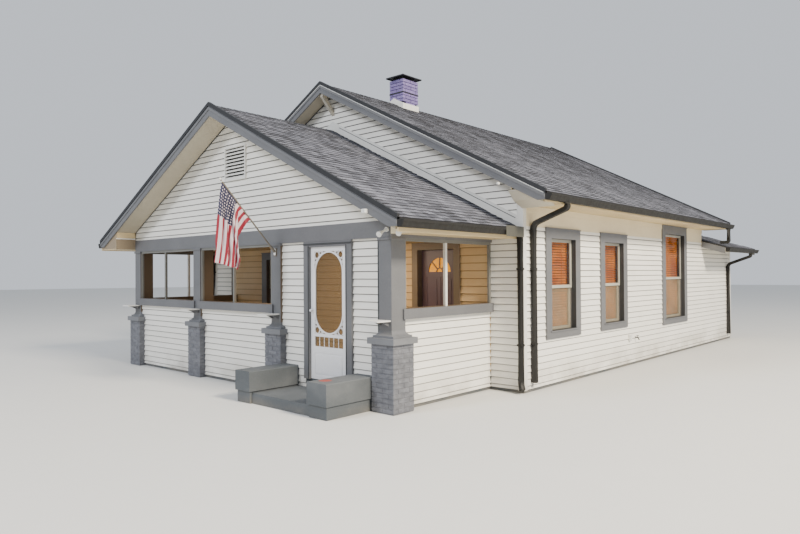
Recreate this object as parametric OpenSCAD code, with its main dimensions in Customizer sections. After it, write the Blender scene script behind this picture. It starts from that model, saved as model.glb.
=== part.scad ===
// Bungalow with an enclosed front porch: gabled main block, lower porch gable, low gabled rear room.
// The origin is on the ground below the porch ridge, in the plane of the main front wall's siding.
// The front looks along -Y and the driveway side is +X. All sizes are in millimetres.

/* [Main block] */
// Half width of the main block, centre line to face of siding
main_half_w = 4466; // [4200:10:5000]
// Length of the gabled main block
main_len = 8700; // [8500:10:10500]
// Length of the lower room behind it
rear_len = 2500; // [1600:10:3200]
// Height of the floor above the lowest ground
floor_z = 290; // [250:10:500]
// Thickness of a wall without its siding
wall_t = 130; // [100:5:180]
// Thickness kept clear for the lap siding
siding_t = 22; // [15:1:30]

/* [Roofs] */
// Height of the main eaves' shingle edge above the top of the screen door's opening
main_eave_over = 788; // [650:1:950]
// Rise of the main roof for each unit of run
main_pitch = 0.52; // [0.45:0.01:0.6]
// Overhang of the main eaves past the side walls' siding
main_eave = 594; // [450:1:750]
// Drop from the underside of the shingles at the main eaves to the soffit
main_soffit_drop = 109; // [80:1:140]
// Overhang of the main roof past its gable walls
main_rake = 350; // [250:10:450]
// Height of the porch roof's underside above the beam, at the right corner post
porch_seat = 104; // [60:1:150]
// Rise of the porch roof for each unit of run
porch_pitch = 0.505; // [0.45:0.005:0.55]
// Distance from the porch eaves' edge in to the main side walls' siding
porch_eave_inset = 76; // [0:1:200]
// Drop from the underside of the shingles at the porch eaves to the soffit
porch_soffit_drop = 142; // [100:1:180]
// Overhang of the porch roof past the posts' front faces
porch_rake = 445; // [300:5:600]
// Height of the rear eaves' shingle edge above the top of the screen door's opening
rear_eave_over = 207; // [150:1:350]
// Rise of the rear roof for each unit of run
rear_pitch = 0.31; // [0.2:0.01:0.4]
// Overhang of the rear roof
rear_over = 600; // [300:10:700]
// Plumb thickness of a sloped roof deck
deck_t = 110; // [80:5:140]
// Plumb thickness of the shingle layer
shingle_t = 25; // [15:1:40]
// Plumb height of the rake boards
rake_h = 170; // [120:5:220]
// Thickness of rake boards and fascias
board_t = 25; // [18:1:40]
// Distance the shingle edge laps past its boards
drip = 12; // [5:1:25]

/* [Porch] */
// Front face of the porch posts, ahead of the main front wall
porch_front = 2414; // [2200:5:2800]
// Distance from the right corner post in to the main side wall's siding
porch_right_inset = 596; // [450:1:750]
// Distance from the left corner post in to the main side wall's siding
porch_left_inset = 806; // [550:1:950]
// Width of a post, across the front
post_w = 235; // [200:5:280]
// Depth of a post, front to back
post_d = 280; // [240:5:320]
// Distance from the right corner post's outer face in to the centre of the post left of the screen door
post_3_inset = 2580; // [2450:10:2700]
// Distance from the left corner post's outer face in to the centre of the second post
post_2_inset = 2510; // [2350:10:2650]
// Side of a brick pier
pier_w = 420; // [380:5:450]
// Side of a pier cap
cap_w = 500; // [470:5:540]
// Underside of the pier caps
cap_z = 940; // [850:5:1000]
// Height of a cap's square edge
cap_h = 85; // [40:5:90]
// Height of the hollow weathering above the edge
weathering_h = 100; // [60:5:140]
// Set back of the porch siding behind the post faces
porch_setback = 37; // [25:1:60]
// Thickness of a porch wall without its siding
porch_wall_t = 100; // [80:5:120]
// Underside of the porch sills
sill_z = 1270; // [1200:5:1350]
// Height of a porch sill
sill_h = 142; // [100:2:160]
// Distance a sill stands out of the post faces
sill_out = 30; // [15:1:50]
// Lap of a sill's nosing over the posts beside it
sill_lap = 55; // [30:5:80]
// Height of the porch beam's underside above the screen door's opening
beam_over = 81; // [60:1:120]
// Height of the porch beam
beam_h = 239; // [200:1:260]
// Thickness of the porch beam
beam_t = 250; // [200:5:280]
// Width of the mullions and frame bars in the porch openings
mullion_w = 42; // [38:1:60]
// Height of the porch ceiling above the beam's underside
ceiling_lift = 48; // [20:1:90]

/* [Doors] */
// Width of both door leaves
leaf_w = 813; // [760:1:840]
// Height of both door leaves
leaf_h = 2020; // [1980:1:2040]
// Gap between a leaf and its frame
leaf_gap = 3; // [2:0.5:5]
// Gap under a leaf
floor_gap = 8; // [5:1:15]
// Distance from the right corner post's outer face in to the screen door leaf's left edge
screen_inset = 1745; // [1700:1:1780]
// Thickness of the screen door
screen_t = 32; // [25:1:40]
// Set back of the screen door behind the post faces
screen_recess = 44; // [40:1:60]
// Distance from the right corner post's outer face in to the entry door leaf's left edge
entry_inset = 1595; // [1500:1:1650]
// Thickness of the entry door
entry_t = 44; // [35:1:50]
// Thickness of the door frames' jambs
jamb_t = 25; // [18:1:35]
// Width of the door casings
door_casing_w = 130; // [90:5:150]
// Distance a casing stands out of the siding
casing_out = 20; // [10:1:30]

/* [Windows] */
// Width of the narrow windows' openings
narrow_w = 860; // [700:10:900]
// Width of the wide window's opening
wide_w = 1240; // [1100:10:1300]
// Width of the side casings
window_casing_w = 178; // [120:2:190]
// Height of the bottom casing
window_bottom_h = 132; // [100:2:160]
// Thickness of the frame that lines a window opening
liner_t = 20; // [15:1:30]
// Width of the sash stiles and rails
sash_w = 45; // [35:1:60]
// Thickness of a sash
sash_t = 32; // [25:1:40]
// Thickness of the window glass
glass_t = 5; // [3:1:8]

/* [Gutters] */
// Depth of a gutter away from its fascia
gutter_w = 115; // [100:1:130]
// Height of a gutter
gutter_h = 100; // [80:1:120]
// Wall thickness of a gutter
gutter_t = 4; // [3:0.5:6]
// Width of a downspout along its wall
spout_w = 100; // [75:1:110]
// Depth of a downspout away from its wall
spout_d = 75; // [55:1:85]

/* [Chimney] */
// Centre of the chimney, right of the ridge
chimney_x = 75; // [0:5:200]
// Front face of the chimney behind the main front wall
chimney_y = 1850; // [1500:10:2500]
// Width of the chimney across the ridge
chimney_w = 410; // [380:10:500]
// Length of the chimney along the ridge
chimney_l = 520; // [480:10:640]
// Height of the brickwork above the main ridge
chimney_rise = 530; // [400:10:700]

/* [Step and flag] */
// Top of the blocks beside the entrance
cheek_z = 475; // [440:5:560]
// Width of a block
cheek_w = 365; // [300:5:400]
// Width of the right block
cheek_right_w = 400; // [340:5:420]
// Length of a block away from the porch wall
cheek_l = 940; // [700:10:1000]
// Gap between the left block and the screen door's frame
cheek_left_gap = 172; // [150:1:250]
// Gap between the right block and the screen door's frame
cheek_right_gap = 57; // [20:1:80]
// Height of the step between the blocks
step_z = 155; // [120:5:180]
// Length of the flag pole
pole_l = 1476; // [1200:2:1700]
// Diameter of the flag pole
pole_d = 25; // [20:1:32]

/* [Hidden] */
$fn = 48;
trim_grey = "#7a7d82";
siding_white = "#e2e1dc";
dark_bronze = "#3a3830";
soffit_beige = "#c8b48c";
core_x = main_half_w - siding_t;
main_run = main_half_w + main_eave;
porch_run = main_half_w - porch_eave_inset;
porch_right = main_half_w - porch_right_inset;
porch_left = main_half_w - porch_left_inset;
leaf_z = floor_z + floor_gap;
leaf_top = leaf_z + leaf_h;
frame_z = leaf_top + leaf_gap;
beam_z = frame_z + beam_over;
main_eave_z = frame_z + main_eave_over;
main_ridge_z = main_eave_z + main_pitch * main_run;
rear_half_w = core_x + rear_over;
rear_eave_z = frame_z + rear_eave_over;
rear_ridge_z = rear_eave_z + rear_pitch * rear_half_w;
inner_x = core_x - wall_t;
house_end = main_len + rear_len;
roof_drop = shingle_t + deck_t;
rear_wall_z = rear_eave_z + rear_pitch * rear_over - roof_drop;
porch_ridge_z = beam_z + beam_h + porch_seat + roof_drop + porch_pitch * porch_right;
ceiling_z = beam_z + ceiling_lift;
main_soffit_z = main_eave_z - shingle_t - main_soffit_drop;
porch_soffit_z = porch_ridge_z - porch_pitch * porch_run - shingle_t - porch_soffit_drop;
chimney_z = main_ridge_z + chimney_rise;
wall_face_y = -(porch_front - porch_setback - siding_t);
post_y = -(porch_front - post_d / 2);
post_1_x = -(porch_left - post_w / 2);
post_2_x = post_2_inset - porch_left;
post_3_x = porch_right - post_3_inset;
post_4_x = porch_right - post_w / 2;
POST_X = [post_1_x, post_2_x, post_3_x, post_4_x];
porch_core_right = porch_right - porch_setback - siding_t;
porch_core_left = -(porch_left - porch_setback - siding_t);
screen_x = porch_right - screen_inset;
entry_x = porch_right - entry_inset;
cheek_left_x = screen_x - leaf_gap - door_casing_w - cheek_left_gap;
cheek_right_x = screen_x + leaf_w + leaf_gap + door_casing_w + cheek_right_gap;
// Narrow windows share a sill and head; each row is centre, width, sill, head, head casing, meeting rail
narrow_sill = 925;
narrow_head_drop = 497;
narrow_head = main_soffit_z - narrow_head_drop;
wide_sill = 835;
wide_head_drop = 205;
wide_head = main_soffit_z - wide_head_drop;
SIDE_WINDOWS = [[1295, narrow_w, narrow_sill, narrow_head, window_casing_w, 1660],
    [3348, narrow_w, narrow_sill, narrow_head, window_casing_w, 1660],
    [6712, wide_w, wide_sill, wide_head, 195, 1750]];
porch_window_x = -1830;
porch_window_drop = 91;
porch_window_head = frame_z - porch_window_drop;
porch_head_casing = 160;
rear_window_x = 2000;
rear_window_drop = 279;
rear_window_head = rear_wall_z - rear_window_drop;
rear_head_casing = 150;
PORCH_WINDOW = [porch_window_x, narrow_w, narrow_sill, porch_window_head, porch_head_casing, 1600];
REAR_WINDOWS = [for (s = [-1, 1])
    [s * rear_window_x, narrow_w, narrow_sill, rear_window_head, rear_head_casing, 1620]];

function main_top(x) = main_ridge_z - main_pitch * abs(x);
function porch_top(x) = porch_ridge_z - porch_pitch * abs(x);
function rear_top(x) = rear_ridge_z - rear_pitch * abs(x);

// Box between two opposite corners
module box(a, b) {
    translate(a) cube(b - a);
}

// Extrudes a profile drawn in X and Z along Y
module along_y(y0, y1) {
    translate([0, y1, 0]) rotate([90, 0, 0]) linear_extrude(y1 - y0) children();
}

// Extrudes a profile drawn in Y and Z along X
module along_x(x0, x1) {
    translate([x0, 0, 0]) rotate([90, 0, 90]) linear_extrude(x1 - x0) children();
}

// Shape on the +X side together with its mirror image
module both_sides() {
    children();
    mirror([1, 0, 0]) children();
}

// Profile of one roof slope between two runs, from one plumb drop below the roof's top to another
module slope(run_0, run_1, ridge, pitch, drop_0, drop_1) {
    polygon([[run_0, ridge - pitch * run_0 - drop_0], [run_1, ridge - pitch * run_1 - drop_0],
        [run_1, ridge - pitch * run_1 - drop_1], [run_0, ridge - pitch * run_0 - drop_1]]);
}

// Space under the main roof's deck, above a level
module under_main_roof(z0, half_w) {
    top = main_ridge_z - roof_drop;
    polygon([[-half_w, z0], [half_w, z0], [half_w, top - main_pitch * half_w], [0, top],
        [-half_w, top - main_pitch * half_w]]);
}

// Moves a window drawn on the front plane at x = 0, outside towards -Y, to its wall
module on_right_wall(c) {
    translate([core_x, c, 0]) rotate([0, 0, 90]) children();
}

module on_left_wall(c) {
    translate([-core_x, c, 0]) rotate([0, 0, -90]) children();
}

module on_front_wall(c) {
    translate([c, siding_t, 0]) children();
}

module on_rear_wall(c) {
    translate([c, house_end - siding_t, 0]) rotate([0, 0, 180]) children();
}

// Draws something for every window of the house
module at_all_windows(part) {
    for (w = SIDE_WINDOWS) {
        on_right_wall(w[0]) window_part(part, w);
        on_left_wall(w[0]) window_part(part, w);
    }
    on_front_wall(PORCH_WINDOW[0]) window_part(part, PORCH_WINDOW);
    for (w = REAR_WINDOWS) on_rear_wall(w[0]) window_part(part, w);
}

module window_part(part, w) {
    if (part == "hole") window_hole(w);
    if (part == "casing") window_casing(w);
    if (part == "sash") window_sash(w);
    if (part == "glass") window_panes(w);
    if (part == "blind") window_blind(w);
}

module window_hole(w) {
    box([-w[1] / 2 - liner_t, -1, w[2] - liner_t], [w[1] / 2 + liner_t, wall_t + 1, w[3] + liner_t]);
}

// Flat casing on the wall with the liner that runs through the wall
module window_casing(w) {
    half = w[1] / 2;
    out = siding_t + casing_out;
    difference() {
        union() {
            box([-half - window_casing_w, -out, w[2] - window_bottom_h],
                [half + window_casing_w, 0, w[3] + w[4]]);
            box([-half - liner_t, -out, w[2] - liner_t], [half + liner_t, wall_t, w[3] + liner_t]);
        }
        box([-half, -out - 1, w[2]], [half, wall_t + 1, w[3]]);
    }
}

sash_back = 20;
sash_gap = 1;

// Upper sash outside, lower sash inside, each an open frame
module window_sash(w) {
    half = w[1] / 2;
    mid = w[5];
    y_low = wall_t - sash_back - sash_t;
    y_up = y_low - sash_gap - sash_t;
    sash_frame(half, mid - sash_w / 2, w[3], y_up);
    sash_frame(half, w[2], mid + sash_w / 2, y_low);
}

module sash_frame(half, z0, z1, y0) {
    difference() {
        box([-half, y0, z0], [half, y0 + sash_t, z1]);
        box([-half + sash_w, y0 - 1, z0 + sash_w], [half - sash_w, y0 + sash_t + 1, z1 - sash_w]);
    }
}

module window_panes(w) {
    half = w[1] / 2 - sash_w;
    mid = w[5];
    y_low = wall_t - sash_back - sash_t / 2;
    y_up = y_low - sash_gap - sash_t;
    box([-half, y_up - glass_t / 2, mid + sash_w / 2], [half, y_up + glass_t / 2, w[3] - sash_w]);
    box([-half, y_low - glass_t / 2, w[2] + sash_w], [half, y_low + glass_t / 2, mid - sash_w / 2]);
}

blind_t = 30;
blind_lap = 40;

module window_blind(w) {
    half = w[1] / 2 + blind_lap;
    box([-half, wall_t, w[2] - blind_lap], [half, wall_t + blind_t, w[3] + blind_lap]);
}

module main_foundation() {
    color("#8a8a86") box([-core_x, siding_t, 0], [core_x, house_end - siding_t, floor_z]);
}

module porch_floor() {
    color("#8a8a86") difference() {
        box([porch_core_left, wall_face_y, 0], [porch_core_right, siding_t, floor_z]);
        pier_spaces();
    }
}

// Piers, caps and posts as plain blocks, for what is cut round them
module pier_spaces() {
    for (x = POST_X) {
        translate([x, post_y, 0]) {
            box([-pier_w / 2, -pier_w / 2, -1], [pier_w / 2, pier_w / 2, cap_z]);
            box([-cap_w / 2, -cap_w / 2, cap_z], [cap_w / 2, cap_w / 2, cap_z + cap_h + weathering_h]);
            box([-post_w / 2, -post_d / 2, cap_z + cap_h], [post_w / 2, post_d / 2, beam_z + 1]);
        }
    }
}

module front_wall_left() {
    color(siding_white) difference() {
        box([-inner_x, siding_t, floor_z],
            [entry_x - leaf_gap - jamb_t, siding_t + wall_t, frame_z + jamb_t]);
        on_front_wall(PORCH_WINDOW[0]) window_hole(PORCH_WINDOW);
    }
}

module front_wall_right() {
    color(siding_white) box([entry_x + leaf_w + leaf_gap + jamb_t, siding_t, floor_z],
        [inner_x, siding_t + wall_t, frame_z + jamb_t]);
}

module front_gable_wall() {
    color(siding_white) along_y(siding_t, siding_t + wall_t) under_main_roof(frame_z + jamb_t, inner_x);
}

// Profile of a side wall up to the roof deck, from the heights of its two upper edges
module side_wall_profile(outer_z, inner_z) {
    polygon([[inner_x, floor_z], [core_x, floor_z], [core_x, outer_z], [inner_x, inner_z]]);
}

module side_wall() {
    along_y(siding_t, main_len - siding_t)
        side_wall_profile(main_top(core_x) - roof_drop, main_top(inner_x) - roof_drop);
    along_y(main_len - siding_t, house_end - siding_t)
        side_wall_profile(rear_wall_z, rear_top(inner_x) - roof_drop);
}

module right_wall() {
    color(siding_white) difference() {
        side_wall();
        for (w = SIDE_WINDOWS) on_right_wall(w[0]) window_hole(w);
    }
}

module left_wall() {
    color(siding_white) difference() {
        mirror([1, 0, 0]) side_wall();
        for (w = SIDE_WINDOWS) on_left_wall(w[0]) window_hole(w);
    }
}

// Gabled rear wall of the lower room, and the main block's gable above that room's roof
module rear_walls() {
    deck = rear_top(inner_x) - roof_drop;
    main_deck = main_top(inner_x) - roof_drop;
    color(siding_white) {
        difference() {
            along_y(house_end - siding_t - wall_t, house_end - siding_t)
                polygon([[-inner_x, floor_z], [inner_x, floor_z], [inner_x, deck],
                    [0, rear_ridge_z - roof_drop], [-inner_x, deck]]);
            for (w = REAR_WINDOWS) on_rear_wall(w[0]) window_hole(w);
        }
        along_y(main_len - siding_t - wall_t, main_len - siding_t)
            polygon([[-inner_x, rear_top(inner_x)], [0, rear_ridge_z], [inner_x, rear_top(inner_x)],
                [inner_x, main_deck], [0, main_ridge_z - roof_drop], [-inner_x, main_deck]]);
    }
}

// Half walls under the porch sills
module porch_half_walls() {
    color(siding_white) difference() {
        union() {
            for (i = [0, 1])
                box([POST_X[i], wall_face_y, floor_z], [POST_X[i + 1], wall_face_y + porch_wall_t, sill_z]);
            for (x = [porch_core_left, porch_core_right - porch_wall_t])
                box([x, wall_face_y, floor_z], [x + porch_wall_t, siding_t, sill_z]);
        }
        pier_spaces();
    }
}

// Full height walls on both sides of the screen door
module porch_door_walls() {
    color(siding_white) difference() {
        union() {
            box([post_3_x, wall_face_y, floor_z],
                [screen_x - leaf_gap - jamb_t, wall_face_y + porch_wall_t, beam_z]);
            box([screen_x + leaf_w + leaf_gap + jamb_t, wall_face_y, floor_z],
                [post_4_x, wall_face_y + porch_wall_t, beam_z]);
        }
        pier_spaces();
    }
}

module porch_beam() {
    color(trim_grey) {
        box([-porch_left, -porch_front, beam_z], [porch_right, -porch_front + beam_t, beam_z + beam_h]);
        box([porch_right - beam_t, -porch_front + beam_t, beam_z], [porch_right, siding_t, beam_z + beam_h]);
        box([-porch_left, -porch_front + beam_t, beam_z], [-porch_left + beam_t, siding_t, beam_z + beam_h]);
    }
}

gable_t = 100;
gable_setback = 30;

module porch_gable_wall() {
    z0 = beam_z + beam_h;
    under = porch_ridge_z - roof_drop;
    color(siding_white) along_y(-porch_front + gable_setback, -porch_front + gable_setback + gable_t)
        polygon([[-porch_left, z0], [porch_right, z0], [porch_right, under - porch_pitch * porch_right],
            [0, under], [-porch_left, under - porch_pitch * porch_left]]);
}

module porch_posts() {
    color(trim_grey) for (x = POST_X) translate([x, post_y, 0])
        box([-post_w / 2, -post_d / 2, cap_z + cap_h + weathering_h], [post_w / 2, post_d / 2, beam_z]);
}

module brick_piers() {
    color("#85868a") for (x = POST_X) translate([x, post_y, 0])
        box([-pier_w / 2, -pier_w / 2, 0], [pier_w / 2, pier_w / 2, cap_z]);
}

cap_foot_inset = 57;
cap_foot_h = 30;

// Square edge, then a smaller upright foot with four hollow faces up to the post
module pier_cap() {
    box([-cap_w / 2, -cap_w / 2, cap_z], [cap_w / 2, cap_w / 2, cap_z + cap_h]);
    z0 = cap_z + cap_h + cap_foot_h;
    z1 = cap_z + cap_h + weathering_h;
    foot = cap_w / 2 - cap_foot_inset;
    box([-foot, -foot, cap_z + cap_h], [foot, foot, z0]);
    intersection() {
        along_y(-foot, foot) cove(foot, post_w / 2, z0, z1);
        along_x(-foot, foot) cove(foot, post_d / 2, z0, z1);
    }
}

// Profile that narrows upwards from one half width to another in a hollow curve
module cove(foot, top, z0, z1) {
    steps = 5;
    side = [for (i = [0 : steps])
        [foot - (foot - top) * sin(90 * i / steps), z1 - (z1 - z0) * cos(90 * i / steps)]];
    polygon(concat(side, [for (i = [steps : -1 : 0]) [-side[i][0], side[i][1]]]));
}

module pier_caps() {
    color("#8b8d90") for (x = POST_X) translate([x, post_y, 0]) pier_cap();
}

// Sill between two posts along the front
module front_sill(x0, x1) {
    inner = wall_face_y + porch_wall_t + sill_out;
    box([x0 + post_w / 2, -porch_front, sill_z], [x1 - post_w / 2, inner, sill_z + sill_h]);
    box([x0 + post_w / 2 - sill_lap, -porch_front - sill_out, sill_z],
        [x1 - post_w / 2 + sill_lap, -porch_front, sill_z + sill_h]);
}

// Sill between a corner post and the main wall, for the +X side
module side_sill(face) {
    y0 = -porch_front + post_d;
    inner = face - porch_setback - siding_t - porch_wall_t - sill_out;
    box([inner, y0, sill_z], [face, siding_t, sill_z + sill_h]);
    box([face, y0 - sill_lap, sill_z], [face + sill_out, 0, sill_z + sill_h]);
}

module porch_sills() {
    color(trim_grey) {
        for (i = [0, 1]) front_sill(POST_X[i], POST_X[i + 1]);
        side_sill(porch_right);
        mirror([1, 0, 0]) side_sill(porch_left);
    }
}

mullion_d = 42;
bar_recess = 20;
bar_gap = 0.5;
side_bar_end = 4;
FRONT_SHIFT = [-53, -25];
side_shift = -115;

// Bars round an opening along X with one mullion, outside towards -Y
module opening_frame(x0, x1, mid) {
    z0 = sill_z + sill_h;
    z1 = beam_z - mullion_w;
    for (x = [x0, mid - mullion_w / 2, x1 - mullion_w])
        box([x, 0, z0], [x + mullion_w, mullion_d, z1 - bar_gap]);
    box([x0, 0, z1], [x1, mullion_d, beam_z]);
}

// Frame between a corner post and the main wall, for the +X side
module side_frame(face) {
    y0 = -porch_front + post_d;
    translate([face - bar_recess, 0, 0]) rotate([0, 0, 90])
        opening_frame(y0, -side_bar_end, y0 / 2 + side_shift);
}

module porch_mullions() {
    color(trim_grey) {
        translate([0, -porch_front + bar_recess, 0]) for (i = [0, 1])
            opening_frame(POST_X[i] + post_w / 2, POST_X[i + 1] - post_w / 2,
                (POST_X[i] + POST_X[i + 1]) / 2 + FRONT_SHIFT[i]);
        side_frame(porch_right);
        mirror([1, 0, 0]) side_frame(porch_left);
    }
}

ceiling_t = 15;

module porch_ceiling() {
    color("#cdb48a") box([-porch_left + beam_t, -porch_front + beam_t, ceiling_z],
        [porch_right - beam_t, siding_t, ceiling_z + ceiling_t]);
}

corner_w = 90;
corner_t = 26;
corner_face_y = siding_t - corner_t;
main_y0 = -main_rake + drip + board_t;
main_y1 = main_len + main_rake - drip - board_t;
porch_y0 = -porch_front - porch_rake + drip + board_t;

// Half width of the slot between the two slopes of a deck, closed by the shingles
ridge_slot = 2;
// Gap between the shingles and what they lie on
bed_gap = 0.1;

module main_roof() {
    x1 = main_run - drip - board_t;
    color("#b9a98a") both_sides() along_y(main_y0, main_y1)
        slope(ridge_slot, x1, main_ridge_z, main_pitch, shingle_t + bed_gap, roof_drop);
}

module porch_roof() {
    x1 = porch_run - drip - board_t;
    color("#b9a98a") both_sides() along_y(porch_y0, siding_t)
        slope(ridge_slot, x1, porch_ridge_z, porch_pitch, shingle_t + bed_gap, roof_drop);
}

rear_end_over = 300;
rear_edge = house_end + rear_end_over;

module rear_roof() {
    y0 = main_len - siding_t;
    color("#b9a98a") both_sides() {
        along_y(y0, rear_edge - drip)
            slope(ridge_slot, rear_half_w - drip, rear_ridge_z, rear_pitch, shingle_t + bed_gap, roof_drop);
        along_y(y0 - wall_t, y0) slope(ridge_slot, inner_x, rear_ridge_z, rear_pitch, 0, roof_drop);
    }
}

module roof_shingles() {
    y0 = -porch_front - porch_rake;
    color("#6d6b73") both_sides() {
        along_y(-main_rake, main_len + main_rake)
            slope(0, main_run, main_ridge_z, main_pitch, 0, shingle_t);
        along_y(y0, corner_face_y) slope(0, porch_run, porch_ridge_z, porch_pitch, 0, shingle_t);
        along_y(y0, siding_t) slope(0, core_x - corner_w, porch_ridge_z, porch_pitch, 0, shingle_t);
        along_y(main_len - siding_t, rear_edge)
            slope(0, rear_half_w, rear_ridge_z, rear_pitch, 0, shingle_t);
    }
}

// Pair of sloped boards under the shingle edge
module rake_pair(y0, run, ridge, pitch) {
    both_sides() along_y(y0, y0 + board_t)
        slope(0, run - drip, ridge, pitch, shingle_t + bed_gap, shingle_t + rake_h);
}

module rake_boards() {
    color(trim_grey) {
        rake_pair(-porch_front - porch_rake + drip, porch_run, porch_ridge_z, porch_pitch);
        rake_pair(-main_rake + drip, main_run, main_ridge_z, main_pitch);
        rake_pair(main_y1, main_run, main_ridge_z, main_pitch);
    }
}

fascia_lip = 12;

// Fascia under the eave's shingle edge, cut to the roof slope at its top
module fascia(y0, y1, run, ridge, pitch, z0) {
    x0 = run - drip - board_t;
    x1 = run - drip;
    top = ridge - shingle_t - bed_gap;
    along_y(y0, y1)
        polygon([[x0, z0], [x1, z0], [x1, top - pitch * x1], [x0, top - pitch * x0]]);
}

module eave_fascias() {
    color(trim_grey) both_sides() {
        fascia(main_y0, main_y1, main_run, main_ridge_z, main_pitch, main_soffit_z - fascia_lip);
        fascia(porch_y0, corner_face_y, porch_run, porch_ridge_z, porch_pitch, porch_soffit_z - fascia_lip);
    }
}

soffit_t = 12;

// Level soffit with the upright board that closes its inner side ahead of the wall
module soffit(x0, x1, y0, y1, y_wall, z0, z_in) {
    box([x0, y0, z0], [x1, y1, z0 + soffit_t]);
    box([x0, y0, z0 + soffit_t], [x0 + soffit_t, y_wall, z_in]);
}

module eave_soffits() {
    main_x1 = main_run - drip - board_t;
    porch_x1 = porch_run - drip - board_t;
    color(soffit_beige) {
        both_sides() soffit(core_x, main_x1, main_y0, main_y1, siding_t, main_soffit_z,
            main_top(core_x + soffit_t) - roof_drop);
        soffit(porch_right, porch_x1, porch_y0, corner_face_y, -porch_front, porch_soffit_z,
            porch_top(porch_right + soffit_t) - roof_drop);
        mirror([1, 0, 0]) soffit(porch_left, porch_x1, porch_y0, corner_face_y, -porch_front, porch_soffit_z,
            porch_top(porch_left + soffit_t) - roof_drop);
    }
}

corner_foot = 40;

// Two boards that lap round an outer corner of the siding
module corner_board(z1) {
    box([core_x - corner_w, corner_face_y, corner_foot], [core_x, siding_t, z1]);
    box([core_x, corner_face_y, corner_foot], [core_x + corner_t, corner_face_y + corner_w, z1]);
}

module corner_boards() {
    color("#e9e8e4") both_sides() {
        corner_board(main_soffit_z);
        translate([0, house_end, 0]) mirror([0, 1, 0])
            corner_board(rear_top(core_x + corner_t) - roof_drop);
    }
}

flashing_h = 190;
flashing_t = 28;

// Boards that follow the porch roof up the main gable wall
module roof_flashing() {
    color("#e9e8e4") both_sides() along_y(siding_t - flashing_t, siding_t)
        slope(0, core_x - corner_w, porch_ridge_z, porch_pitch, -flashing_h, 0);
}

module chimney_stack() {
    x0 = chimney_x - chimney_w / 2;
    x1 = chimney_x + chimney_w / 2;
    foot = [[x0, main_top(x0)], [0, main_ridge_z], [x1, main_top(x1)]];
    color("#8a78c0") along_y(chimney_y, chimney_y + chimney_l)
        polygon(concat([[x0, chimney_z]], foot, [[x1, chimney_z]]));
}

cap_over = 60;
cap_rise = 120;
cap_slope = 1.2;
collar_h = 70;

// Sheet metal collar and low hipped cap
module chimney_cap() {
    x0 = chimney_x - chimney_w / 2;
    y0 = chimney_y;
    x1 = x0 + chimney_w;
    y1 = y0 + chimney_l;
    z1 = chimney_z + collar_h;
    over = cap_over;
    color("#1c1c1e") {
        box([x0 + over, y0 + over, chimney_z], [x1 - over, y1 - over, z1]);
        intersection() {
            along_y(y0 - over, y1 + over)
                polygon([[x0 - over, z1], [x1 + over, z1], [chimney_x, z1 + cap_rise]]);
            along_x(x0 - over, x1 + over)
                polygon([[y0 - over, z1], [y1 + over, z1], [(y0 + y1) / 2, z1 + cap_rise * cap_slope]]);
        }
    }
}

rear_gutter_z = rear_eave_z - shingle_t;

// Open trough with a stepped outer face
module gutter_profile() {
    step = gutter_w / 3;
    difference() {
        polygon([[0, 0], [gutter_w - step, 0], [gutter_w - step / 2, gutter_h / 2],
            [gutter_w, gutter_h * 0.75], [gutter_w, gutter_h], [0, gutter_h]]);
        polygon([[gutter_t, gutter_t], [gutter_w - step - gutter_t, gutter_t],
            [gutter_w - step / 2 - gutter_t, gutter_h / 2], [gutter_w - gutter_t, gutter_h * 0.75],
            [gutter_w - gutter_t, gutter_h + 1], [gutter_t, gutter_h + 1]]);
    }
}

module gutter(x, y0, y1, z_top) {
    translate([x, 0, z_top - gutter_h]) along_y(y0, y1) gutter_profile();
}

module roof_gutters() {
    color(dark_bronze) both_sides() {
        gutter(main_run - drip, -main_rake + drip, main_len + main_rake - drip,
            main_top(main_run) - shingle_t);
        gutter(porch_run - drip, -porch_front - porch_rake + drip, -corner_t,
            porch_top(porch_run) - shingle_t);
        gutter(rear_half_w - drip, main_len, rear_edge - drip, rear_gutter_z);
    }
}

wall_gap = 4;
spout_foot = 60;
swan_neck = 330;
neck_drop = 110;
neck_slant = 70;
main_spout_y = 190;
outlet_in = 20;
rear_spout_back = 420;

// Downspout on the right wall below a swan neck from a gutter's underside
module wall_spout(y0, x_out, z_gutter) {
    face = main_half_w + wall_gap;
    z_neck = z_gutter - swan_neck;
    along_y(y0, y0 + spout_w) polygon([[x_out, z_gutter], [x_out + spout_d, z_gutter],
        [x_out + spout_d, z_gutter - neck_drop], [face + spout_d, z_neck], [face + spout_d, spout_foot],
        [face, spout_foot], [face, z_neck + neck_slant], [x_out, z_gutter - neck_drop + neck_slant]]);
}

roof_spout_back = 40;
roof_spout_out = 150;
roof_spout_over = 35;

// Short downspout from the main gutter's rear end, with a shoe that drains on the rear roof
module roof_spout() {
    x0 = main_run - drip + outlet_in;
    x1 = x0 + spout_d;
    shoe_x = x0 - roof_spout_out;
    z0 = rear_top(shoe_x) + roof_spout_over;
    top = main_top(main_run) - shingle_t - gutter_h;
    y0 = main_len - roof_spout_back;
    along_y(y0, y0 + spout_w) polygon([[x0, top], [x1, top], [x1, z0 + neck_slant], [x0 + neck_slant, z0],
        [shoe_x, z0], [shoe_x, z0 + spout_d], [x0, z0 + spout_d]]);
}

// Straight downspout in front of the corner board, below the porch gutter
module porch_spout() {
    x0 = porch_run - drip + gutter_t;
    box([x0, corner_face_y - spout_d, spout_foot],
        [x0 + spout_w, corner_face_y, porch_top(porch_run) - shingle_t - gutter_h]);
}

module downspouts() {
    color(dark_bronze) both_sides() {
        wall_spout(main_spout_y, main_run - drip + outlet_in, main_top(main_run) - shingle_t - gutter_h);
        wall_spout(house_end - rear_spout_back, rear_half_w - drip + outlet_in, rear_gutter_z - gutter_h);
        roof_spout();
        porch_spout();
    }
}

module window_casings() {
    color(trim_grey) at_all_windows("casing");
}

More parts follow.
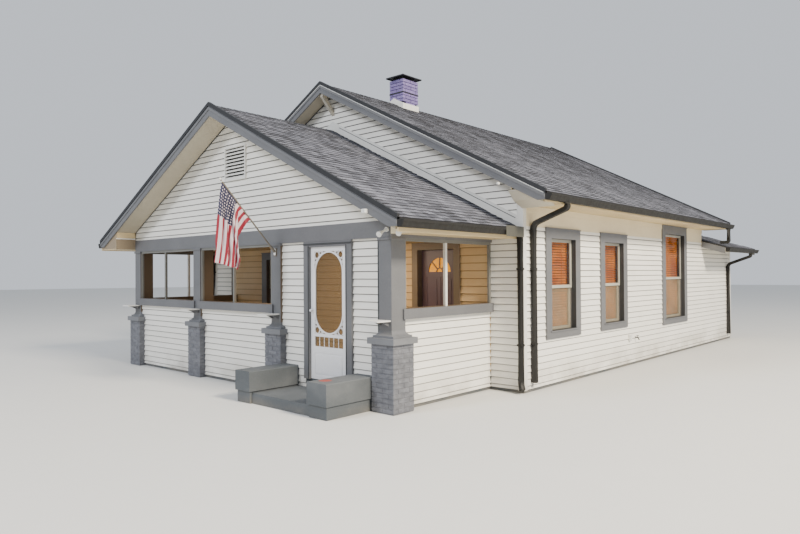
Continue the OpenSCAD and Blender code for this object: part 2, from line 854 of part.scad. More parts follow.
module window_sashes() {
    color("#c9ccd0") at_all_windows("sash");
}

module window_glass() {
    color("#9fb4c0", 0.4) at_all_windows("glass");
}

module window_blinds() {
    color("#b06a34") at_all_windows("blind");
}

// Hinge barrels stand off the leaf's face, a little inside its edge
hinge_r = 6.5;
hinge_off = 7;
hinge_inset = 6;
knuckle_h = 30;
knuckle_gap = 0.3;
hinge_plate_w = 40;
hinge_plate_t = 3;
hinge_low = 200;
hinge_high = 290;
HINGE_Z = [leaf_z + hinge_low, leaf_z + leaf_h / 2 - 1.5 * knuckle_h, leaf_top - hinge_high];

// Middle knuckles and plates, fixed to a leaf that lies towards -X with its face at +Y
module leaf_knuckles() {
    h = knuckle_h - 2 * knuckle_gap;
    for (z = HINGE_Z) translate([0, 0, z + knuckle_h + knuckle_gap]) {
        cylinder(h = h, r = hinge_r);
        box([-hinge_plate_w, hinge_off - hinge_plate_t, 0], [0, hinge_off, h]);
    }
}

// Outer knuckles with the tabs that reach a jamb
module jamb_knuckles(reach, y0) {
    for (z = HINGE_Z) for (up = [0, 2 * knuckle_h]) translate([0, 0, z + up]) {
        cylinder(h = knuckle_h, r = hinge_r);
        box([0, y0, 0], [reach, y0 + hinge_plate_t, knuckle_h]);
    }
}

screen_y = -porch_front + screen_recess;
screen_hinge_x = screen_x + leaf_w - hinge_inset;
screen_hinge_y = screen_y - hinge_off;
casing_step = 6;

// Frame of a door: jambs, head and casings on the outer face
module door_frame(x0, y_out, y_in, casing_back) {
    a = x0 - leaf_gap;
    b = x0 + leaf_w + leaf_gap;
    box([a - jamb_t, y_out, floor_z], [a, y_in, frame_z]);
    box([b, y_out, floor_z], [b + jamb_t, y_in, frame_z]);
    box([a - jamb_t, y_out, frame_z], [b + jamb_t, y_in, frame_z + jamb_t]);
    box([a - door_casing_w, y_out, floor_z], [a - jamb_t, casing_back, frame_z + jamb_t]);
    box([b + jamb_t, y_out, floor_z], [b + door_casing_w, casing_back, frame_z + jamb_t]);
}

module screen_door_frame() {
    y_out = -porch_front + casing_step;
    a = screen_x - leaf_gap;
    b = screen_x + leaf_w + leaf_gap;
    color(trim_grey) {
        door_frame(screen_x, y_out, wall_face_y + porch_wall_t, wall_face_y);
        box([a - door_casing_w, y_out, frame_z + jamb_t], [b + door_casing_w, wall_face_y, beam_z]);
        box([a - jamb_t, wall_face_y, frame_z + jamb_t], [b + jamb_t, wall_face_y + porch_wall_t, beam_z]);
        translate([screen_hinge_x, screen_hinge_y, 0])
            jamb_knuckles(hinge_inset + leaf_gap, -hinge_plate_t / 2);
    }
}

// Sunk ring round a raised field, to cut into a face of a door between two depths
module panel_ring(x0, x1, z0, z1, y0, y1) {
    difference() {
        box([x0, y0, z0], [x1, y1, z1]);
        box([x0 + panel_rim, y0 - 1, z0 + panel_rim], [x1 - panel_rim, y1 + 1, z1 - panel_rim]);
    }
}

panel_rim = 30;
panel_deep = 7;
knob_r = 24;
knob_l = 22;
knob_stem = 34;
rose_r = 30;
rose_t = 6;

// Door knob with its round plate, standing off a face towards -Y
module knob() {
    rotate([90, 0, 0]) {
        cylinder(h = rose_t, r = rose_r);
        cylinder(h = knob_stem, r = knob_r / 3);
        translate([0, 0, knob_stem]) cylinder(h = knob_l, r1 = knob_r, r2 = knob_r * 0.7);
    }
}

stile_w = 87;
screen_top_rail = 68;
oval_foot = 697;
spindle_foot = 502;
spindle_h = 150;
spindles = 5;
screen_panel_foot = 60;
screen_panel_h = 350;
screen_knob_z = 1050;
oval_ring = 22;
ring_lap = 2;
curl_w = 9;
curl_lap = 1.5;
fret_t = 14;
screen_sheet_t = 3;
sheet_gap = 0.2;
oval_z0 = leaf_z + oval_foot;
oval_z1 = leaf_top - screen_top_rail;
spindle_z0 = leaf_z + spindle_foot;
opening_half = leaf_w / 2 - stile_w;
oval_r = opening_half + ring_lap;
corner_curl = oval_r * (sqrt(2) - 1) / (sqrt(2) + 1);

// Radius of the curl beside one of radius r that also touches the same edge and the oval
function next_curl(r) = pow(sqrt(oval_r * r) / (sqrt(oval_r) + sqrt(r)), 2);

CURLS = [corner_curl, next_curl(corner_curl), next_curl(next_curl(corner_curl))];

// Each point of a turned spindle's profile: radius and part of its height
SPINDLE = [[5, 0], [5, 0.1], [7, 0.16], [4, 0.24], [7, 0.5], [4, 0.76], [7, 0.84], [5, 0.9], [5, 1]];

// Oval with straight sides and round ends that touches the edges of its opening
module oval(inset) {
    low = oval_z0 - ring_lap + oval_r;
    high = oval_z1 + ring_lap - oval_r;
    r = oval_r - inset;
    translate([0, low]) circle(r);
    translate([0, high]) circle(r);
    translate([-r, low]) square([2 * r, high - low]);
}

// Curls that fill one corner between the oval and its opening, right of and above the oval's top circle
module corner_curls() {
    for (r = CURLS) {
        reach = 2 * sqrt(oval_r * r);
        for (p = [[reach, oval_r - r], [oval_r - r, reach]]) translate(p) difference() {
            circle(r + curl_lap);
            circle(r + curl_lap - curl_w);
        }
    }
}

// Ring and curls of the upper part of the screen door
module fretwork() {
    middle = (oval_z0 + oval_z1) / 2;
    difference() {
        oval(0);
        oval(oval_ring);
    }
    for (sx = [1, -1]) for (sz = [1, -1]) scale([sx, 1]) translate([0, middle]) scale([1, sz])
        translate([0, oval_z1 + ring_lap - oval_r - middle]) corner_curls();
}

// The screen door's two openings as flat outlines, drawn smaller by a gap
module screen_openings(gap) {
    w = 2 * (opening_half - gap);
    translate([-w / 2, oval_z0 + gap]) square([w, oval_z1 - oval_z0 - 2 * gap]);
    translate([-w / 2, spindle_z0 + gap]) square([w, spindle_h - 2 * gap]);
}

module spindle() {
    rotate_extrude($fn = 16) polygon(concat([[0, -1]], [[SPINDLE[0][0], -1]],
        [for (p = SPINDLE) [p[0], p[1] * spindle_h]], [[SPINDLE[0][0], spindle_h + 1], [0, spindle_h + 1]]));
}

module screen_door() {
    panel_z = leaf_z + screen_panel_foot;
    color("#ececec") {
        translate([screen_x + leaf_w / 2, screen_y, 0]) {
            difference() {
                box([-leaf_w / 2, 0, leaf_z], [leaf_w / 2, screen_t, leaf_top]);
                along_y(-1, screen_t + 1) screen_openings(0);
                for (y = [[-1, panel_deep], [screen_t - panel_deep, screen_t + 1]])
                    panel_ring(-opening_half, opening_half, panel_z, panel_z + screen_panel_h, y[0], y[1]);
            }
            along_y(0, fret_t) fretwork();
            for (i = [1 : spindles])
                translate([2 * opening_half * (i / (spindles + 1) - 0.5), fret_t / 2, spindle_z0]) spindle();
            translate([-leaf_w / 2 + stile_w / 2, 0, leaf_z + screen_knob_z]) knob();
        }
        translate([screen_hinge_x, screen_hinge_y, 0]) leaf_knuckles();
    }
}

module screen_mesh() {
    y0 = fret_t + sheet_gap;
    color("#9a8458") translate([screen_x + leaf_w / 2, screen_y, 0])
        along_y(y0, y0 + screen_sheet_t) screen_openings(sheet_gap);
}

entry_y = siding_t + wall_t - entry_t;
entry_hinge_x = entry_x + leaf_w - hinge_inset;
entry_hinge_y = siding_t + wall_t + hinge_off;
jamb_lap = 20;
tab_gap = 0.4;
fan_r = 250;
fan_drop = 388;
fan_z = leaf_top - fan_drop;
fan_bar = 14;
fan_hub = 75;
pane_t = 8;
pane_gap = 0.2;
entry_panel_x = 115;
entry_panel_gap = 60;
entry_panel_low = [200, 690];
entry_panel_foot = 820;
entry_panel_drop = 95;
entry_knob_z = 1000;
entry_knob_x = 65;

module half_round(r) {
    intersection() {
        circle(r);
        translate([-r, 0]) square([2 * r, r]);
    }
}

module entry_door_frame() {
    color("#6c625a") {
        door_frame(entry_x, -casing_out, siding_t + wall_t, siding_t);
        box([entry_x - leaf_gap - door_casing_w, -casing_out, frame_z + jamb_t],
            [entry_x + leaf_w + leaf_gap + door_casing_w, siding_t, ceiling_z]);
        translate([entry_hinge_x, entry_hinge_y, 0]) mirror([0, 1, 0])
            jamb_knuckles(hinge_inset + leaf_gap + jamb_lap, hinge_off - tab_gap - hinge_plate_t);
    }
}

// Hub and spokes of the fanlight
module fan_bars() {
    difference() {
        half_round(fan_hub);
        circle(fan_hub - fan_bar);
    }
    intersection() {
        half_round(fan_r + 1);
        difference() {
            for (a = [45, 90, 135]) rotate(a) translate([0, -fan_bar / 2]) square([fan_r + 1, fan_bar]);
            circle(fan_hub - fan_bar / 2);
        }
    }
}

// Raised panels of the entry door, as the rings that are cut round them
module entry_panels() {
    half = (leaf_w - entry_panel_gap) / 2;
    rows = [entry_panel_low, [entry_panel_foot, fan_z - entry_panel_drop - leaf_z]];
    for (y = [[-1, panel_deep], [entry_t - panel_deep, entry_t + 1]])
        for (x = [entry_panel_x, half + entry_panel_gap]) for (z = rows)
            panel_ring(x, x + half - entry_panel_x, leaf_z + z[0], leaf_z + z[1], y[0], y[1]);
}

module entry_door() {
    color("#4a3a40") {
        translate([entry_x, entry_y, 0]) {
            difference() {
                box([0, 0, leaf_z], [leaf_w, entry_t, leaf_top]);
                translate([leaf_w / 2, 0, fan_z]) along_y(-1, entry_t + 1) half_round(fan_r);
                entry_panels();
            }
            translate([leaf_w / 2, 0, fan_z]) along_y(0, entry_t / 2 - pane_t / 2 - pane_gap) fan_bars();
            translate([entry_knob_x, 0, leaf_z + entry_knob_z]) knob();
            translate([entry_knob_x, entry_t, leaf_z + entry_knob_z]) mirror([0, 1, 0]) knob();
        }
        translate([entry_hinge_x, entry_hinge_y, 0]) mirror([0, 1, 0]) leaf_knuckles();
    }
}

module entry_door_glass() {
    color("#e0921e") translate([entry_x + leaf_w / 2, entry_y + entry_t / 2, fan_z])
        along_y(-pane_t / 2, pane_t / 2) half_round(fan_r);
}

vent_x0 = -180;
vent_x1 = 460;
vent_drop = 689;
vent_h = 585;
vent_z1 = porch_ridge_z - vent_drop;
vent_z0 = vent_z1 - vent_h;
vent_frame = 55;
vent_t = 45;
vent_back = 8;
louvre_t = 8;
louvre_in = 4;
louvre_lap = 0.8;
louvre_lift = 2;

module gable_vent() {
    y0 = -porch_front + gable_setback - vent_t;
    louvres = 9;
    pitch_z = (vent_z1 - vent_z0 - 2 * vent_frame) / louvres;
    color("#e6e6e4") {
        difference() {
            box([vent_x0, y0, vent_z0], [vent_x1, y0 + vent_t, vent_z1]);
            box([vent_x0 + vent_frame, y0 - 1, vent_z0 + vent_frame],
                [vent_x1 - vent_frame, y0 + vent_t - vent_back, vent_z1 - vent_frame]);
        }
        for (i = [0 : louvres - 1]) {
            z = vent_z0 + vent_frame + louvre_lift + i * pitch_z;
            y1 = y0 + vent_t - vent_back;
            along_x(vent_x0 + vent_frame, vent_x1 - vent_frame) polygon([[y0 + louvre_in, z],
                [y0 + louvre_in, z + louvre_t], [y1, z + pitch_z * louvre_lap],
                [y1, z + pitch_z * louvre_lap - louvre_t]]);
        }
    }
}

brace_w = 70;
brace_reach = 300;
brace_drop = 60;
brace_arm = 20;
brace_nose = 70;
brace_foot = 420;
strut_h = 90;

// Bracket under the main ridge: strut from the wall to the rake
module knee_brace() {
    z1 = main_ridge_z - roof_drop - brace_drop;
    z_arm = z1 - brace_arm;
    color(trim_grey) along_x(-brace_w / 2, brace_w / 2)
        polygon([[-brace_reach, z1], [-brace_reach, z1 - brace_nose], [siding_t, z1 - brace_foot],
            [siding_t, z1 - brace_foot + strut_h], [-brace_reach + brace_nose, z_arm], [siding_t, z_arm],
            [siding_t, z1]]);
}

shelf_t = 18;
shelf_drop = 20;
shelf_z = sill_z - shelf_drop;
shelf_d = 260;
shelf_left = 40;
shelf_right = 20;

module post_shelves() {
    color("#e6e6e4") for (x = POST_X) box([x - post_w / 2 - shelf_left, -porch_front - shelf_d, shelf_z],
        [x + post_w / 2 - shelf_right, -porch_front, shelf_z + shelf_t]);
}

step_back = 60;
step_lap = 60;
cheek_foot_h = 175;
cheek_foot_inset = 25;
cheek_chamfer = 15;

// Block beside the entrance on a smaller footing, with its upper edges taken off
module cheek(x0, x1) {
    y0 = wall_face_y - cheek_l;
    a = x0 + cheek_foot_inset;
    b = x1 - cheek_foot_inset;
    difference() {
        along_y(y0, wall_face_y) polygon([[a, 0], [b, 0], [b, cheek_foot_h], [x1, cheek_foot_h],
            [x1, cheek_z - cheek_chamfer], [x1 - cheek_chamfer, cheek_z], [x0 + cheek_chamfer, cheek_z],
            [x0, cheek_z - cheek_chamfer], [x0, cheek_foot_h], [a, cheek_foot_h]]);
        box([x0, y0 - 1, -1], [x1, y0 + cheek_foot_inset, cheek_foot_h]);
    }
}

// Blocks on both sides of the entrance and the step that runs into their footings
module entry_step() {
    color("#7e8184") difference() {
        union() {
            cheek(cheek_left_x - cheek_w, cheek_left_x);
            cheek(cheek_right_x, cheek_right_x + cheek_right_w);
            box([cheek_left_x - cheek_foot_inset - step_lap, wall_face_y - cheek_l + step_back, 0],
                [cheek_right_x + cheek_foot_inset + step_lap, wall_face_y, step_z]);
        }
        pier_spaces();
    }
}

pole_drop = 133;
pole_z = beam_z - pole_drop;
pole_angle = 47.2;
socket_l = 130;
socket_wall = 8;
bracket_t = 18;
bracket_w = 70;
bracket_low = 70;
bracket_high = 60;
pole_y = -porch_front - bracket_t;

// Something that starts at the bracket and runs up along the pole's axis
module along_pole() {
    translate([post_3_x, pole_y, pole_z]) rotate([90 - pole_angle, 0, 0]) children();
}

module flag_pole() {
    color("#d8d8d6") {
        box([post_3_x - bracket_w / 2, pole_y, pole_z - bracket_low],
            [post_3_x + bracket_w / 2, -porch_front, pole_z + bracket_high]);
        along_pole() cylinder(h = socket_l, d = pole_d + 2 * socket_wall);
        along_pole() cylinder(h = pole_l, d = pole_d);
    }
}

flag_t = 90;
flag_tip = 60;
flag_hoist = 743;
flag_gap = 0.3;

// Hanging cloth below the pole's outer end: each point is how far behind and below the hoist's top it hangs
FLAG_EDGE = [[422, 674], [240, 884], [107, 1083], [63, 1271], [33, 1362], [-95, 1347], [-172, 1238],
    [-157, 803], [-91, 548], [-64, 425]];

// Cloth hung from the outer end of the pole, as a plain closed solid
module flag() {
    c = cos(pole_angle);
    s = sin(pole_angle);
    top = [pole_y - c * (pole_l - flag_tip), pole_z + s * (pole_l - flag_tip)];
    low = [top[0] + c * flag_hoist, top[1] - s * flag_hoist];
    drop = (pole_d / 2 + flag_gap) / c;
    edge = [for (p = FLAG_EDGE) [top[0] + p[0], top[1] - p[1]]];
    color("#b83a40") along_x(post_3_x - flag_t / 2, post_3_x + flag_t / 2)
        polygon(concat([[top[0], top[1] - drop], [low[0], low[1] - drop]], edge));
}

main_foundation();
porch_floor();
front_wall_left();
front_wall_right();
front_gable_wall();
right_wall();
left_wall();
rear_walls();
porch_half_walls();
porch_door_walls();
porch_beam();
porch_gable_wall();
porch_posts();
brick_piers();
pier_caps();
porch_sills();
porch_mullions();
porch_ceiling();
main_roof();
porch_roof();
rear_roof();
roof_shingles();
rake_boards();
eave_fascias();
eave_soffits();
corner_boards();
roof_flashing();
chimney_stack();
chimney_cap();
roof_gutters();
downspouts();
window_casings();
window_sashes();
window_glass();
window_blinds();
screen_door_frame();
screen_door();
screen_mesh();
entry_door_frame();
entry_door();
entry_door_glass();
gable_vent();
knee_brace();
post_shelves();
entry_step();
flag_pole();
flag();
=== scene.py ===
"""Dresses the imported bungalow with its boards, shingles, bricks, windows, doors, flag and finishes.

Everything is in metres in the CAD frame: the ground is z = 0, the front looks along -Y and the
driveway side is +X. Places come from the CAD nodes, sizes from the fields of each class.
"""

import logging
import math
import random
from dataclasses import dataclass
from enum import Enum
from typing import Callable, Sequence

import bmesh
import bpy
from mathutils import Matrix, Vector


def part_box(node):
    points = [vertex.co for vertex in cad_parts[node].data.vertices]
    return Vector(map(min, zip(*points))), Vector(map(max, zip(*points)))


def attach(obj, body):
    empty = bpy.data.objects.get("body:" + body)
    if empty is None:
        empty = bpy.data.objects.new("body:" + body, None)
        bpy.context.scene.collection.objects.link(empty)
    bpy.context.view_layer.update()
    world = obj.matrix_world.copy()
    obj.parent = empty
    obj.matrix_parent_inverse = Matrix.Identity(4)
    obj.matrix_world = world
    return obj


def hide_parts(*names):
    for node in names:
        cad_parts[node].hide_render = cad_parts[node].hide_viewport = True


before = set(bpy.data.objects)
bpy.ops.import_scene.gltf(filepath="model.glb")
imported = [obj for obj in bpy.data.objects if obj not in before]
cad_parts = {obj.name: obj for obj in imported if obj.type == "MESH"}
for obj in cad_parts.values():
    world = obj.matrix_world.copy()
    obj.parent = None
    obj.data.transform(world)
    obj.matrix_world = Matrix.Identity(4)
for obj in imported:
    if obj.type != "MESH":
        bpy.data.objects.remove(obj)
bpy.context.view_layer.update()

LOG = logging.getLogger("bungalow")
Triple = Sequence[float]
Span = Sequence[float]
Corners = tuple[Triple, Triple]
Piece = bpy.types.Object
NEAR = 1e-4  # how close a vertex is to a plane that it lies on
SKY = 9.0  # a level above the whole house, and a course too high to leave a lap


# Reading the frame

@dataclass(frozen=True)
class Box:
    """Box between two corners."""

    lo: Vector
    hi: Vector

    @property
    def centre(self) -> Vector:
        """Middle of the box."""
        return (self.lo + self.hi) / 2

    @property
    def size(self) -> Vector:
        """Lengths of the box's sides."""
        return self.hi - self.lo

    @property
    def outward(self) -> tuple[int, float, float]:
        """Side of the house that the box is on, 1 or -1, with its inner and its outer X."""
        return (1, self.lo.x, self.hi.x) if self.centre.x > 0 else (-1, self.hi.x, self.lo.x)


def box_round(points: Sequence[Vector]) -> Box:
    """Box round two points or more."""
    return Box(Vector(map(min, *points)), Vector(map(max, *points)))


def box_of(node: str) -> Box:
    """Box of a whole CAD node."""
    return Box(*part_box(node))


def solids_of(node: str) -> list[Box]:
    """Boxes of the separate solids of one CAD node.

    Args:
        node: Name of the node.

    Returns:
        One box for each solid, in order of their lowest corner.
    """
    mesh = bmesh.new()
    mesh.from_mesh(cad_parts[node].data)
    bmesh.ops.remove_doubles(mesh, verts=mesh.verts, dist=1e-5)
    left, found = set(mesh.verts), []
    while left:
        waiting, points = [left.pop()], []
        while waiting:
            vert = waiting.pop()
            points.append(vert.co.copy())
            near = {edge.other_vert(vert) for edge in vert.link_edges} & left
            left -= near
            waiting += near
        found.append(box_round(points))
    mesh.free()
    return sorted(found, key=lambda box: tuple(box.lo))


class Facing(Enum):
    """Side of the house that a wall looks to, as its turn from the front in degrees."""

    FRONT = 0
    RIGHT = 90
    REAR = 180
    LEFT = 270

    def turn(self, way: int = 1) -> Matrix:
        """Turn about Z from the front to this side, or back where way is -1."""
        return Matrix.Rotation(way * math.radians(self.value), 4, "Z")


@dataclass(frozen=True)
class Gable:
    """Gabled surface: ridge height and pitch."""

    ridge: float
    pitch: float

    def planes(self) -> list[Corners]:
        """Point and outer normal of both slopes, for cut()."""
        return [((0, 0, self.ridge), (side * self.pitch, 0, 1)) for side in (-1, 1)]

    def bars(self, runs: Span, ends: Span, drops: Span) -> list[Piece]:
        """Makes a bar on each slope that follows it.

        Args:
            runs: Inner and outer distance from the ridge, level.
            ends: Ends along Y.
            drops: Depth of the top and of the underside below the surface.

        Returns:
            The driveway side's bar and the other side's.
        """
        made, level, (near, far) = [], self.ridge - self.pitch * runs[0], runs
        for side in (1, -1):
            bar = block((side * near, ends[0], level - drops[1]), (side * far, ends[1], level - drops[0]))
            shift(bar, lambda p: abs(p.x) > far - NEAR, (0, 0, -self.pitch * (far - near)))
            made.append(bar)
        return made


class Roof(Enum):
    """The three gabled roofs, each by the node of its deck."""

    MAIN = "main_roof"
    PORCH = "porch_roof"
    REAR = "rear_roof"

    def slab(self) -> Box:
        """Finds the solid under its shingle tabs.

        Returns:
            Its box.
        """
        slabs = solids_of("roof_shingles")
        if self is Roof.PORCH:
            return min(slabs, key=lambda b: b.lo.y)
        return max(slabs, key=lambda b: b.hi.z if self is Roof.MAIN else b.hi.y)

    def under(self) -> Gable:
        """Reads the underside of its deck.

        Returns:
            Its ridge height and pitch.
        """
        points = [v.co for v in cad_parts[self.value].data.vertices]
        eave = box_of(self.value).hi.x
        middle = [p for p in points if abs(p.x) < 0.01]
        inner = min(p.x for p in middle if p.x > 0)
        low = min(p.z for p in middle)
        pitch = (low - min(p.z for p in points if p.x > eave - NEAR)) / (eave - inner)
        return Gable(low + pitch * inner, pitch)

    def top(self) -> Gable:
        """Surface of its shingles."""
        return Gable(self.slab().hi.z, self.under().pitch)


# Mesh tools

def activate(obj: Piece) -> Piece:
    """Makes one object the only selected and the active one.

    Args:
        obj: The object.

    Returns:
        The same object.
    """
    bpy.ops.object.select_all(action="DESELECT")
    obj.select_set(True)
    bpy.context.view_layer.objects.active = obj
    return obj


def primitive(kind: str, **settings: object) -> Piece:
    """Adds a primitive, with its place, turn and scale applied to its mesh.

    Args:
        kind: Its kind, such as "cube".
        **settings: What the operator is given.

    Returns:
        The new object.
    """
    bpy.ops.object.select_all(action="DESELECT")
    getattr(bpy.ops.mesh, f"primitive_{kind}_add")(**settings)
    bpy.ops.object.transform_apply(location=True, rotation=True, scale=True)
    return bpy.context.object


def block(lo: Triple, hi: Triple) -> Piece:
    """Adds a cube between two opposite corners."""
    a, b = Vector(lo), Vector(hi)
    return primitive("cube", size=1, location=(a + b) / 2, scale=Vector(abs(x) for x in b - a))


def blocks(corners: Sequence[Corners]) -> list[Piece]:
    """Adds a cube between each pair of opposite corners."""
    return [block(lo, hi) for lo, hi in corners]


def rod(start: Triple, end: Triple, radius: float, sides: int = 16, tip: float | None = None) -> Piece:
    """Adds a cylinder or a cone between two points.

    Args:
        start: Middle of one end.
        end: Middle of the other end.
        radius: Radius at the start.
        sides: Number of sides.
        tip: Radius at the end, if it isn't the same.

    Returns:
        The new object.
    """
    a, b = Vector(start), Vector(end)
    place = {"location": (a + b) / 2, "rotation": (b - a).to_track_quat("Z", "Y").to_euler()}
    if tip is None:
        return primitive("cylinder", vertices=sides, radius=radius, depth=(b - a).length, **place)
    return primitive("cone", vertices=sides, radius1=radius, radius2=tip, depth=(b - a).length, **place)


def shift(obj: Piece, test: Callable[[Vector], bool], by: Triple) -> None:
    """Moves those vertices of an object that a test picks.

    Args:
        obj: The object.
        test: Says whether a vertex at a place is moved.
        by: The move.
    """
    activate(obj)
    bpy.ops.object.mode_set(mode="EDIT")
    bpy.ops.mesh.select_all(action="DESELECT")
    bpy.ops.mesh.select_mode(type="VERT")
    mesh = bmesh.from_edit_mesh(obj.data)
    for vert in mesh.verts:
        vert.select_set(test(vert.co))
    mesh.select_flush_mode()
    bmesh.update_edit_mesh(obj.data)
    bpy.ops.transform.translate(value=by)
    bpy.ops.object.mode_set(mode="OBJECT")


def cut(obj: Piece, planes: Sequence[Corners], clear: bool = True) -> Piece:
    """Cuts an object by planes.

    Args:
        obj: The object.
        planes: A point and the normal of each plane.
        clear: Whether what lies beyond goes and the cut is closed.

    Returns:
        The same object.
    """
    for point, normal in planes:
        activate(obj)
        bpy.ops.object.mode_set(mode="EDIT")
        bpy.ops.mesh.select_all(action="SELECT")
        bpy.ops.mesh.bisect(plane_co=point, plane_no=normal, use_fill=clear, clear_outer=clear)
        bpy.ops.object.mode_set(mode="OBJECT")
    return obj


def merge(obj: Piece) -> Piece:
    """Merges an object's doubled vertices and turns its faces outwards.

    Args:
        obj: The object.

    Returns:
        The same object.
    """
    activate(obj)
    bpy.ops.object.mode_set(mode="EDIT")
    bpy.ops.mesh.select_all(action="SELECT")
    bpy.ops.mesh.remove_doubles(threshold=1e-5)
    bpy.ops.mesh.normals_make_consistent(inside=False)
    bpy.ops.object.mode_set(mode="OBJECT")
    return obj


def apply(obj: Piece, kind: str, **settings: object) -> Piece:
    """Adds a modifier and applies it at once.

    Args:
        obj: The object.
        kind: The modifier's type.
        **settings: Its settings.

    Returns:
        The same object.
    """
    activate(obj)
    modifier = obj.modifiers.new(kind.title(), kind)
    for key, value in settings.items():
        setattr(modifier, key, value)
    bpy.ops.object.modifier_apply(modifier=modifier.name)
    return obj


def array(obj: Piece, count: int, step: Triple) -> Piece:
    """Repeats an object until there are count of it, each a step from the last, and returns it."""
    return apply(obj, "ARRAY", count=count, use_relative_offset=False, use_constant_offset=True,
                 constant_offset_displace=step)


def rounded(obj: Piece, width: float, segments: int = 1) -> Piece:
    """Bevels an object's sharp edges by a width in a number of segments, and returns it."""
    return apply(obj, "BEVEL", width=width, segments=segments, limit_method="ANGLE",
                 angle_limit=math.radians(35))


def twin(obj: Piece, matrix: Matrix) -> Piece:
    """Copies an object with a mesh of its own.

    Args:
        obj: The object to copy.
        matrix: Where the copy's mesh goes.

    Returns:
        The copy.
    """
    copy = obj.copy()
    copy.data = obj.data.copy()
    bpy.context.collection.objects.link(copy)
    copy.data.transform(matrix)
    return copy


def join(parts: Sequence[Piece]) -> Piece:
    """Joins objects into the first one.

    Args:
        parts: The objects.

    Returns:
        The joined object.
    """
    activate(parts[0])
    for part in parts[1:]:
        part.select_set(True)
    if len(parts) > 1:
        bpy.ops.object.join()
    return parts[0]


def carve(obj: Piece, cutters: Sequence[Piece]) -> Piece:
    """Cuts the shapes of other objects out of an object, and removes them.

    Args:
        obj: The object that stays.
        cutters: The shapes to cut out.

    Returns:
        The same object.
    """
    cutter = join(cutters)
    apply(obj, "BOOLEAN", operation="DIFFERENCE", solver="EXACT", object=cutter)
    bpy.data.objects.remove(cutter, do_unlink=True)
    return obj


def smooth(obj: Piece, degrees: float = 40) -> Piece:
    """Shades an object smooth below an angle.

    Args:
        obj: The object.
        degrees: Edges sharper than this stay sharp.

    Returns:
        The same object.
    """
    activate(obj)
    bpy.ops.object.shade_smooth_by_angle(angle=math.radians(degrees))
    return obj


def curve(points: Sequence[Triple], closed: bool) -> Piece:
    """Adds a polygonal curve.

    Args:
        points: Its points.
        closed: Whether it is a flat closed outline.

    Returns:
        The curve.
    """
    line = bpy.data.curves.new("line", "CURVE")
    line.dimensions = "2D" if closed else "3D"
    spline = line.splines.new("POLY")
    spline.points.add(len(points) - 1)
    for point, place in zip(spline.points, points):
        point.co = (*place, 1)
    spline.use_cyclic_u = closed
    obj = bpy.data.objects.new("line", line)
    bpy.context.collection.objects.link(obj)
    return obj


def folded_pipe(path: Sequence[Triple], width: float, depth: float, bend: float, corner: float = 0.012) -> Piece:
    """Sweeps a rectangle with rounded corners along a path with rounded bends.

    Args:
        path: Corner points of the path.
        width: Width of the section.
        depth: Depth of the section.
        bend: Radius of the path's bends.
        corner: Radius of the section's corners.

    Returns:
        The pipe, a mesh.
    """
    path = [Vector(p) for p in path]
    points = [path[0]]
    for before, here, after in zip(path, path[1:], path[2:]):
        back, ahead = (before - here).normalized(), (after - here).normalized()
        reach = min(bend, (before - here).length / 2.01, (after - here).length / 2.01)
        for t in (i / 6 for i in range(7)):
            points.append((here + back * reach * (1 - t)).lerp(here + ahead * reach * t, t))
    outline = []
    for quarter, (sx, sy) in enumerate(((1, 1), (-1, 1), (-1, -1), (1, -1))):
        for angle in (math.pi / 2 * (quarter + i / 3) for i in range(4)):
            outline.append((sx * (width / 2 - corner) + corner * math.cos(angle),
                            sy * (depth / 2 - corner) + corner * math.sin(angle), 0))
    section, pipe = curve(outline, True), curve(points + [path[-1]], False)
    pipe.data.twist_mode = "Z_UP"
    pipe.data.bevel_mode = "OBJECT"
    pipe.data.bevel_object = section
    pipe.data.use_fill_caps = True
    activate(pipe)
    bpy.ops.object.convert(target="MESH")
    bpy.data.objects.remove(section, do_unlink=True)
    return merge(bpy.context.object)


# Finishes

def linear(code: str) -> tuple[float, float, float, float]:
    """Turns an sRGB hex colour such as "#7a7d82" to linear red, green, blue and alpha."""
    values = [int(code[i:i + 2], 16) / 255 for i in (1, 3, 5)]
    return (*(v / 12.92 if v <= 0.04045 else ((v + 0.055) / 1.055) ** 2.4 for v in values), 1.0)


def feed(node: bpy.types.Node, inputs: dict) -> None:
    """Sets and links a node's inputs.

    Args:
        node: The node.
        inputs: Values, output sockets, or nodes that give their first output, by the input's name or number.
    """
    for key, value in inputs.items():
        if isinstance(value, bpy.types.Node):
            value = value.outputs[0]
        if isinstance(value, bpy.types.NodeSocket):
            node.id_data.links.new(value, node.inputs[key])
        else:
            node.inputs[key].default_value = value


def add(tree: bpy.types.NodeTree, kind: str, inputs: dict | None = None, **settings: object) -> bpy.types.Node:
    """Adds a shader node with its settings and links.

    Args:
        tree: The node tree.
        kind: The node's type.
        inputs: Its inputs, as feed() takes them.
        **settings: The node's own settings.

    Returns:
        The new node.
    """
    node = tree.nodes.new("ShaderNode" + kind)
    for key, value in settings.items():
        setattr(node, key, value)
    feed(node, inputs or {})
    return node


Noises = dict[str, bpy.types.Node]
Coats = list[tuple[object, float, float, float, str]]


